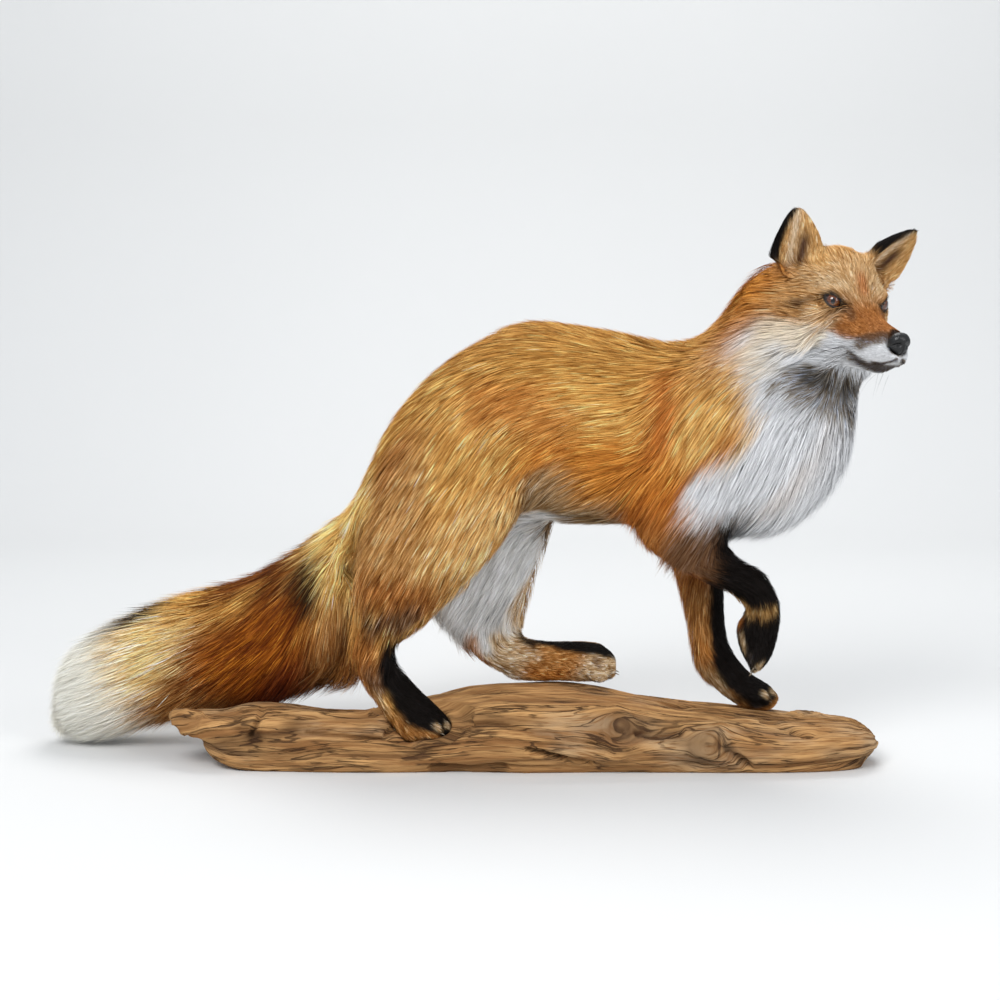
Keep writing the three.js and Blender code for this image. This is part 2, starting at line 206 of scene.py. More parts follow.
BODY_STROKES = (
    ("neck", (.46, .57, 1.0), (.17, .57, .70), "chest", (.27, .5, .97), 40, 14, .66),
    ("chest", (.27, .5, .97), "barrel", (.5, .5, 1.0), "rump", (.60, .5, .97), 42, 12, .66),
    ("rump", (.60, .5, .97), (.28, .5, .68), (.03, .5, .28), 42, 12, .66),
    ("barrel", (.5, .5, 0), "rump", (.95, .5, .12), (.75, .5, .25), 34, 12, .7),
    ("chest", (.70, .5, .05), (.30, .5, .0), "barrel", (.5, .5, 0), 34, 13, .7),
    ("chest", (1.0, .32, .75), (.97, .35, .40), (.78, .4, .06), 56, 17, .75),
    ("chest", (.78, .4, .06), (.50, .45, .0), 48, 16, .75),
    ("neck", (.98, .20, .40), "chest", (1.0, .32, .75), 46, 16, .75),
    ("rump", (.70, .5, .25), (.50, .5, -.1), (.42, .5, -.35), 32, 8, .7),
    ("rump", (.02, .5, .30), "tail_root", (.70, .5, .72), (.0, .5, .42), 52, 17, .75),
    ("tail_root", (.0, .5, .42), "tail_middle", (.30, .5, .5), (-.05, .5, .38), 56, 20, .75),
    ("tail_tip", (1.0, .5, .6), (.5, .5, .45), (-.05, .5, .22), 58, 22, .7),
    ("tail_root", (.80, .5, .20), (.35, .5, -.1), "tail_middle", (.60, .5, -.2), 54, 18, .75),
    ("tail_middle", (.60, .5, -.15), "tail_tip", (.8, .5, -.2), (.25, .5, -.35), 56, 20, .75),
    ("thigh_right", (.45, .2, 1.0), (.28, .3, .5), (.15, .4, .0), 26, 8, .6),
    ("hock_right", (.15, .5, 1.0), (.15, .5, .6), (.60, .5, .0), 15, 5, .5),
    ("hind_paw_right", (.2, .5, .9), (1.0, .5, .15), 7, 2.0, .40),
    ("thigh_left", (.65, .5, 1.0), (.40, .5, .5), (.10, .5, .0), 36, 10, .6),
    ("hock_left", (.15, .5, 1.0), (.15, .5, .45), (.45, .5, .5), 13, 4.5, .5),
    ("hock_left", (.45, .5, .5), "hind_paw_left", (.0, .5, .5), 9, 3.0, .45),
    ("hind_paw_left", (.0, .5, .5), (1.0, .5, .4), 7, 2.0, .40),
    ("forearm_right", (.20, .5, .75), (.60, .5, .60), (.85, .5, .4), 18, 6, .55),
    ("forearm_right", (.85, .5, .4), "forepaw_right", (.5, .5, .9), (.5, .5, .5), 12, 4, .45),
    ("forepaw_right", (.5, .5, .5), (.5, .5, .0), 7, 2.0, .40),
    ("forearm_left", (.65, .5, 1.0), (.65, .5, .5), (.72, .5, .0), 14, 4.5, .5),
    ("forearm_left", (.40, .5, 1.0), (.22, .5, .45), (.38, .5, .0), 34, 10, .5),
    ("forepaw_left", (.2, .5, 1.0), (.45, .5, .5), 12, 3.6, .45),
    ("forepaw_left", (.45, .5, .5), (1.0, .5, .15), 7, 2.0, .40),
)
# The same line down both flanks: y is the share for the right side.
PAIRED_STROKES = (
    ("neck", (.72, .0, .75), (.45, .0, .30), "chest", (.50, .02, .55), 46, 15, .7),
    ("chest", (.62, .02, .70), (.50, .0, .40), (.30, .05, .08), 42, 14, .66),
    ("neck", (.30, .1, .60), "chest", (.30, .0, .72), (.15, .0, .35), 42, 13, .66),
    ("chest", (.88, .10, .60), (.78, .08, .25), (.55, .15, .0), 54, 16, .75),
    ("chest", (.10, .0, .80), "barrel", (.50, .0, .72), "rump", (.70, .0, .66), 42, 12, .66),
    ("chest", (.15, .0, .50), "barrel", (.50, .0, .42), "rump", (.88, .0, .36), 42, 12, .66),
    ("barrel", (.60, .1, .12), "rump", (.95, .08, .15), (.80, .08, .05), 36, 12, .7),
    ("rump", (.70, .0, .66), (.50, .0, .36), (.32, .0, .05), 38, 11, .64),
    ("rump", (.88, .0, .40), (.76, .04, .18), (.62, .06, -.05), 34, 10, .64),
    ("rump", (.40, .05, .70), (.20, .08, .35), (.08, .15, .05), 38, 12, .64),
    ("rump", (.08, .2, .20), (.04, .2, -.1), (.03, .2, -.3), 48, 11, .7),
)
HEAD_STROKES = (
    ((78, 0, -18), (50, 0, -13), (18, 0, -1), 4.5, 1.2, .30),
    ((18, 0, -1), (-6, 0, 24), (-28, 0, 44), 9, 2.6, .36),
    ((-28, 0, 44), (-58, 0, 50), (-84, 0, 34), 22, 7, .5),
    ((78, 0, -48), (58, 0, -60), (28, 0, -66), 6, 1.6, .34),
    ((28, 0, -66), (-10, 0, -72), (-44, 0, -84), 28, 8, .6),
)
PAIRED_HEAD_STROKES = (
    ((80, 8, -36), (56, 17, -40), (34, 24, -42), 5, 1.2, .30),
    ((66, 13, -24), (40, 18, -22), (18, 27, -16), 5, 1.2, .30),
    ((34, 24, -42), (8, 34, -42), (-22, 52, -46), 15, 4.5, .44),
    ((18, 27, -16), (0, 38, -18), (-24, 52, -16), 9, 2.8, .36),
    ((6, 20, 10), (-14, 32, 20), (-36, 48, 16), 9, 2.6, .36),
    ((-22, 52, -46), (-50, 60, -62), (-76, 60, -84), 38, 11, .6),
    ((-24, 52, -16), (-48, 58, -22), (-78, 56, -40), 28, 9, .55),
    ((-36, 48, 16), (-60, 54, 4), (-84, 50, -14), 24, 8, .52),
    ((46, 16, -58), (16, 26, -66), (-20, 40, -74), 18, 5, .5),
)
# Each ear: the middle of its base, its tip, the way it opens and the side of its dark rim.
EARS = {
    "ear_right": ((-48, -47, 20), (-52, -57, 84), (0.93, -0.36, 0), (-0.36, -0.93, 0)),
    "ear_left": ((-44, 44, 24), (-40, 84, 72), (0.93, 0.30, -0.12), (0, -0.77, 0.64)),
}
EAR_HAIR = (11, 1.3, .34)
EAR_FOOT, EAR_EDGE = (-2, 12), (30, 36)  # where an ear begins above its base, and ends about its middle
REACH = 12 * MM  # how softly one stroke gives way to the next


def sides(line, paired):
    """A line's world places, and its mirror's too when paired."""
    node, points = None, []
    for item in line:
        if isinstance(item, str):
            node = item
        else:
            points.append((node, *item))
    lines = [points]
    if paired:
        lines.append([(name, x, 1 - y if name else -y, z) for name, x, y, z in points])
    return [np.array([spot(*p) if p[0] else HEAD.place(p[1:]) for p in side]) for side in lines]


def strokes():
    """Every stroke's segments: start, end, and hair length, coat depth and hair width in metres."""
    found = []
    groups = ((BODY_STROKES, ONE), (HEAD_STROKES, ONE), (PAIRED_STROKES, BOTH), (PAIRED_HEAD_STROKES, BOTH))
    for group, paired in groups:
        for *points, length, depth, width in group:
            for line in sides(points, paired):
                sizes = (length * MM, depth * MM, width * MM)
                found.extend((start, end, *sizes) for start, end in zip(line[:-1], line[1:]))
    return found


STROKES = strokes()


def ears_at(points):
    """For each ear: a point's share of it, height, gap from its middle and reach to its rim, and its axes."""
    local = HEAD.local(points)
    for base, tip, opens, rim in EARS.values():
        base, tip = np.array(base, float), np.array(tip, float)
        length = np.linalg.norm(tip - base)
        height = (local - base) @ (tip - base) / length
        gap, _ = along(local, (base, tip))
        share = step(height, *EAR_FOOT) * (1 - step(gap, *EAR_EDGE))
        reach = (local - base) @ unit(rim)
        yield share, height / length, gap, reach, HEAD.turn(tip - base), HEAD.turn(opens)


def ear_share(points):
    """1 on the ears and 0 elsewhere."""
    return np.max([share for share, *_ in ears_at(points)], axis=0)


def lie_of_coat(points):
    """At each point: the direction of the hair, its length, the coat's depth and a hair's width."""
    total = np.zeros(len(points))
    field = np.zeros((len(points), 6))
    for start, end, *sizes in STROKES:
        gap, _ = along(points, (start, end))
        weight = nearness(gap)
        total += weight
        field += weight[:, None] * np.concatenate((unit(end - start), sizes))
    field /= total[:, None]
    for share, _, _, _, rise, _ in ears_at(points):
        field = blend(field, np.concatenate((rise, np.array(EAR_HAIR) * MM)), share)
    return unit(field[:, :3]), field[:, 3], field[:, 4], field[:, 5]


# ---- Meshes as arrays -------------------------------------------------------------------------------


def mesh_from(name, places, faces):
    """A mesh of equal-sided faces from arrays."""
    mesh = bpy.data.meshes.new(name)
    mesh.vertices.add(len(places))
    mesh.vertices.foreach_set("co", np.ascontiguousarray(places, np.float32).ravel())
    mesh.loops.add(faces.size)
    mesh.loops.foreach_set("vertex_index", np.ascontiguousarray(faces, np.int32).ravel())
    mesh.polygons.add(len(faces))
    mesh.polygons.foreach_set("loop_start", np.arange(0, faces.size, faces.shape[1], dtype=np.int32))
    mesh.update(calc_edges=True)
    return mesh


def read(items, name, width, kind=np.float32):
    """One property of all of a mesh's items as an array."""
    values = np.zeros(len(items) * width, kind)
    items.foreach_get(name, values)
    return values.reshape(-1, width) if width > 1 else values


def places_of(mesh):
    return read(mesh.vertices, "co", 3).astype(float)


def normals_of(mesh):
    return unit(read(mesh.vertex_normals, "vector", 3))


def edges_of(mesh):
    return read(mesh.edges, "vertices", 2, np.int32)


def triangles_of(mesh):
    mesh.calc_loop_triangles()
    return read(mesh.loop_triangles, "vertices", 3, np.int32)


def move(mesh, places):
    mesh.vertices.foreach_set("co", np.ascontiguousarray(places, np.float32).ravel())
    mesh.update()


def keep(mesh, name, kind, values):
    """Stores one value for each vertex on the mesh, where materials and other operators read it."""
    slots = {"FLOAT": "value", "INT": "value", "FLOAT_VECTOR": "vector", "FLOAT_COLOR": "color"}
    if kind == "FLOAT_COLOR":
        attribute = mesh.color_attributes.new(name, kind, "POINT")
        values = np.concatenate((values, np.ones((len(values), 1))), axis=1)
    else:
        attribute = mesh.attributes.new(name, kind, "POINT")
    number = np.int32 if kind == "INT" else np.float32
    attribute.data.foreach_set(slots[kind], np.ascontiguousarray(values, number).ravel())


def kept(mesh, name, width=1):
    items = mesh.attributes[name].data
    if width == 4:
        return read(items, "color", 4)[:, :3].astype(float)
    if width == 3:
        return read(items, "vector", 3).astype(float)
    kind = np.int32 if mesh.attributes[name].data_type == "INT" else np.float32
    return read(items, "value", 1, kind)


SMOOTH = (0.5,)  # a round of evening that rounds off, and one that keeps the size
STEADY = (0.5, -0.52)


def evened(places, edges, rounds, parts):
    """Places moved by each of the parts of the way to their neighbours' mean, round after round."""
    a, b = edges.T
    count = np.bincount(edges.ravel(), minlength=len(places))[:, None]
    for _ in range(rounds):
        for part in parts:
            total = np.empty_like(places)
            for axis in range(3):
                line = places[:, axis]
                total[:, axis] = np.bincount(a, line[b], len(places)) + np.bincount(b, line[a], len(places))
            places = places + (total / count - places) * part
    return places


def tree_of(places):
    """A search tree over places."""
    tree = kdtree.KDTree(len(places))
    for i, place in enumerate(places):
        tree.insert(place, i)
    tree.balance()
    return tree


def nearest(tree, wanted):
    """For each wanted point, the index of the nearest place in the tree."""
    return np.array([tree.find(point)[1] for point in wanted], int)


def placed(name, data):
    """A new object in the scene."""
    made = bpy.data.objects.new(name, data)
    bpy.context.scene.collection.objects.link(made)
    return made


def show(name, mesh, material, slot=None, stands_for=()):
    """Puts a finished mesh in the scene as a piece of the fox."""
    piece = placed(name, mesh)
    mesh.materials.clear()
    mesh.materials.append(material)
    mesh.polygons.foreach_set("use_smooth", np.ones(len(mesh.polygons), bool))
    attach(piece, BODY)
    if stands_for:
        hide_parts(*stands_for)


def applied(piece):
    """A plain mesh of what a piece's modifiers make, with the modifiers taken off."""
    graph = bpy.context.evaluated_depsgraph_get()
    mesh = bpy.data.meshes.new_from_object(piece.evaluated_get(graph))
    piece.modifiers.clear()
    return mesh


def merged(nodes):
    """The nodes' loose triangles together, with their doubles merged."""
    rough = bmesh.new()
    for node in nodes:
        rough.from_mesh(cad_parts[node].data)
    bmesh.ops.remove_doubles(rough, verts=rough.verts, dist=SAME_PLACE)
    return rough


def fused(rough, size):
    """One even shell over solids that overlap, of quads about as long as size."""
    mesh = bpy.data.meshes.new("rough")
    rough.to_mesh(mesh)
    rough.free()
    piece = placed("rough", mesh)
    modifier = piece.modifiers.new("Fuse", "REMESH")
    modifier.mode = "VOXEL"
    modifier.voxel_size = size
    shell = applied(piece)
    bpy.data.objects.remove(piece)
    return shell


def finer(mesh, chosen):
    """Splits the edges whose two ends are chosen."""
    edited = bmesh.new()
    edited.from_mesh(mesh)
    edited.verts.ensure_lookup_table()
    edges = [e for e in edited.edges if chosen[e.verts[0].index] and chosen[e.verts[1].index]]
    bmesh.ops.subdivide_edges(edited, edges=edges, cuts=1, use_grid_fill=True)
    bmesh.ops.triangulate(edited, faces=[f for f in edited.faces if len(f.verts) > 4])
    edited.to_mesh(mesh)
    edited.free()
    mesh.update()


# ---- Materials --------------------------------------------------------------------------------------


class Value:
    """A node's output that does sums as a number does, each sum adding its node."""

    def __init__(self, shader, socket):
        self.shader = shader
        self.socket = socket

    def sum(self, operation, *others):
        return self.shader.add("ShaderNodeMath", {"operation": operation}, dict(enumerate((self, *others))))

    def __add__(self, other):
        return self.sum("ADD", other)

    def __sub__(self, other):
        return self.sum("SUBTRACT", other)

    def __mul__(self, other):
        return self.sum("MULTIPLY", other)

    def __rsub__(self, other):
        return self.shader.add("ShaderNodeMath", {"operation": "SUBTRACT"}, {0: other, 1: self})

    __radd__ = __add__
    __rmul__ = __mul__

    def rise(self, low, high):
        """0 below low, 1 above high and smooth between."""
        settings = {"interpolation_type": "SMOOTHSTEP"}
        return self.shader.add("ShaderNodeMapRange", settings, {"Value": self, 1: low, 2: high})


class Tree:
    """A node tree, with one method that adds any node."""

    def __init__(self, tree):
        self.tree = tree

    def link(self, socket, value):
        if isinstance(value, Value):
            self.tree.links.new(value.socket, socket)
        elif socket.type == "RGBA" and len(value) == 3:
            socket.default_value = (*value, 1)
        else:
            socket.default_value = value

    def add(self, kind, settings=None, inputs=None, output=0):
        """Adds a node: its type, its settings, then the values or links of its sockets."""
        node = self.tree.nodes.new(kind)
        for name, value in (settings or {}).items():
            setattr(node, name, value)
        for name, value in (inputs or {}).items():
            self.link(node.inputs[name], value)
        return Value(self, node.outputs[output])


class Shader(Tree):
    """A material's node tree."""

    def __init__(self, name, **surface):
        self.material = bpy.data.materials.new(name)
        self.material.use_nodes = True
        super().__init__(self.material.node_tree)
        self.surface = self.tree.nodes["Principled BSDF"]
        self.set(**surface)

    def set(self, **inputs):
        """Sets or links the surface's own sockets: a space in a socket's name is written as _."""
        for name, value in inputs.items():
            self.link(self.surface.inputs[name.replace("_", " ")], value)

    def attribute(self, name, output="Color"):
        return self.add("ShaderNodeAttribute", {"attribute_name": name}, output=output)

    def place(self, scale=(1, 1, 1)):
        """Object coordinates, scaled."""
        place = self.add("ShaderNodeTexCoord", output="Object")
        return self.add("ShaderNodeMapping", {}, {"Vector": place, "Scale": scale})

    def noise(self, place, scale, detail=3, distortion=0.0):
        inputs = {"Vector": place, "Scale": scale, "Detail": detail, "Distortion": distortion}
        return self.add("ShaderNodeTexNoise", {}, inputs)

    def mix(self, share, under, over):
        """A colour between two."""
        inputs = {0: share, 6: self.colour(under), 7: self.colour(over)}
        return self.add("ShaderNodeMix", {"data_type": "RGBA"}, inputs, output=2)

    def colour(self, value):
        return value if isinstance(value, Value) else (*value, 1)

    def bump(self, height, strength, distance):
        inputs = {"Height": height, "Strength": strength, "Distance": distance}
        return self.add("ShaderNodeBump", {}, inputs)


# ---- Markings ---------------------------------------------------------------------------------------
# Each stroke of the ground is a colour, whether it is on both sides, and a line of shares of a node's box
# or of head millimetres. Where lines meet, their colours run together.

GROUND = (
    ("tan", ONE, "neck", (.17, .57, .85), "chest", (.27, .5, .97), "barrel", (.5, .5, 1.0), "rump",
     (.6, .5, .97)),
    ("tan", ONE, "rump", (.6, .5, .97), (.28, .5, .68), (.1, .5, .4)),
    ("belly", ONE, "chest", (.05, .5, .05), "barrel", (.5, .5, .0), "rump", (.95, .5, .1)),
    ("white", ONE, "chest", (.98, .5, .6), (.8, .5, .1), (.4, .5, .0)),
    ("straw", ONE, "rump", (.03, .45, .25), "tail_root", (.85, .4, .75), (.92, .4, .6)),
    ("dark_gold", ONE, "tail_root", (.90, .3, .38), (.75, .3, .12)),
    ("umber", ONE, "tail_root", (.48, .5, .85), (.0, .4, .62), "tail_middle", (.62, .5, .75)),
    ("gold", ONE, "tail_middle", (.45, .5, .90), (.15, .4, .75)),
    ("russet", ONE, "tail_root", (.35, .2, .40), "tail_middle", (.75, .1, .40), (.45, .1, .40)),
    ("deep_red", ONE, "tail_root", (.30, .3, .15), "tail_middle", (.80, .3, .05)),
    ("dark_gold", ONE, "tail_middle", (.25, .3, .20), (.08, .3, .15)),
    ("tail_cream", ONE, "tail_middle", (.06, .4, .5), "tail_tip", (.72, .4, .5)),
    ("tip_white", ONE, "tail_tip", (.45, .5, .5), (-.1, .5, .4)),
    ("hip", ONE, "hock_right", (.24, .5, .6), (.40, .5, .15)),
    ("cream", ONE, "hock_left", (.30, .23, .9), (.42, .23, .45)),
    ("fringe", ONE, "hock_left", (.62, .2, .4), (.9, .2, .4)),
    ("cream", ONE, "hind_paw_left", (.4, .2, .3), (.9, .2, .3)),
    ("fringe", ONE, "hind_paw_right", (.3, .3, .3), (.9, .5, .1)),
    ("russet", ONE, "forearm_right", (.0, .3, 1.0), (.25, .5, .6)),
    ("black", ONE, "forearm_right", (.6, .5, .6), (.9, .5, .3), "forepaw_right", (.5, .5, .1)),
    ("dark_gold", ONE, "forearm_left", (.3, .5, 1.0), (.3, .5, .5)),
    ("fringe", ONE, "forearm_left", (.3, .5, .3), (.3, .5, .0)),
    ("fringe", ONE, "forepaw_left", (.2, .5, .7), (.6, .3, .2)),
    ("nape", BOTH, "neck", (.45, .05, .98), (.25, .3, .85), (.14, .3, .7)),
    ("neck_gold", BOTH, "neck", (.32, .0, .60), (.14, .0, .40), "chest", (.42, .0, .85)),
    ("shoulder", BOTH, "chest", (.45, .0, .75), (.36, .0, .45)),
    ("tan", BOTH, "chest", (.10, .1, .85), "barrel", (.5, .1, .85), "rump", (.7, .1, .80)),
    ("ribs", BOTH, "chest", (.10, .0, .58), "barrel", (.5, .0, .62), (.2, .0, .60)),
    ("flank", BOTH, "chest", (.20, .0, .30), "barrel", (.8, .0, .36), (.2, .0, .34)),
    ("tan", BOTH, "rump", (.98, .0, .45), (.8, .0, .60)),
    ("hip", BOTH, "rump", (.62, .0, .55), (.45, .0, .35)),
    ("thigh", BOTH, "rump", (.60, .0, .15), (.50, .0, -.1)),
    ("haunch", BOTH, "rump", (.25, .05, .35), (.10, .1, .05)),
    ("muzzle", ONE, (72, 0, -18), (40, 0, -12), (14, 0, 0)),
    ("face", ONE, (8, 0, 6), (-20, 0, 38)),
    ("crown", ONE, (-34, 0, 46), (-55, 0, 52)),
    ("nape", ONE, (-74, 0, 44), (-92, 0, 30)),
    ("white", ONE, (60, 0, -62), (20, 0, -68), (-20, 0, -76)),
    ("face", BOTH, (-10, 24, 20), (-30, 40, 24)),
    ("cheek", BOTH, (4, 40, -14), (-20, 54, -10), (-50, 60, -6)),
    ("muzzle", BOTH, (58, 14, -24), (34, 20, -18), (16, 26, -10)),
    ("white", BOTH, (76, 10, -40), (50, 20, -46), (20, 34, -46)),
    ("white", BOTH, (0, 44, -48), (-30, 58, -50), (-60, 62, -64)),
    ("nape", BOTH, (-74, 58, -6), (-92, 54, -16)),
)

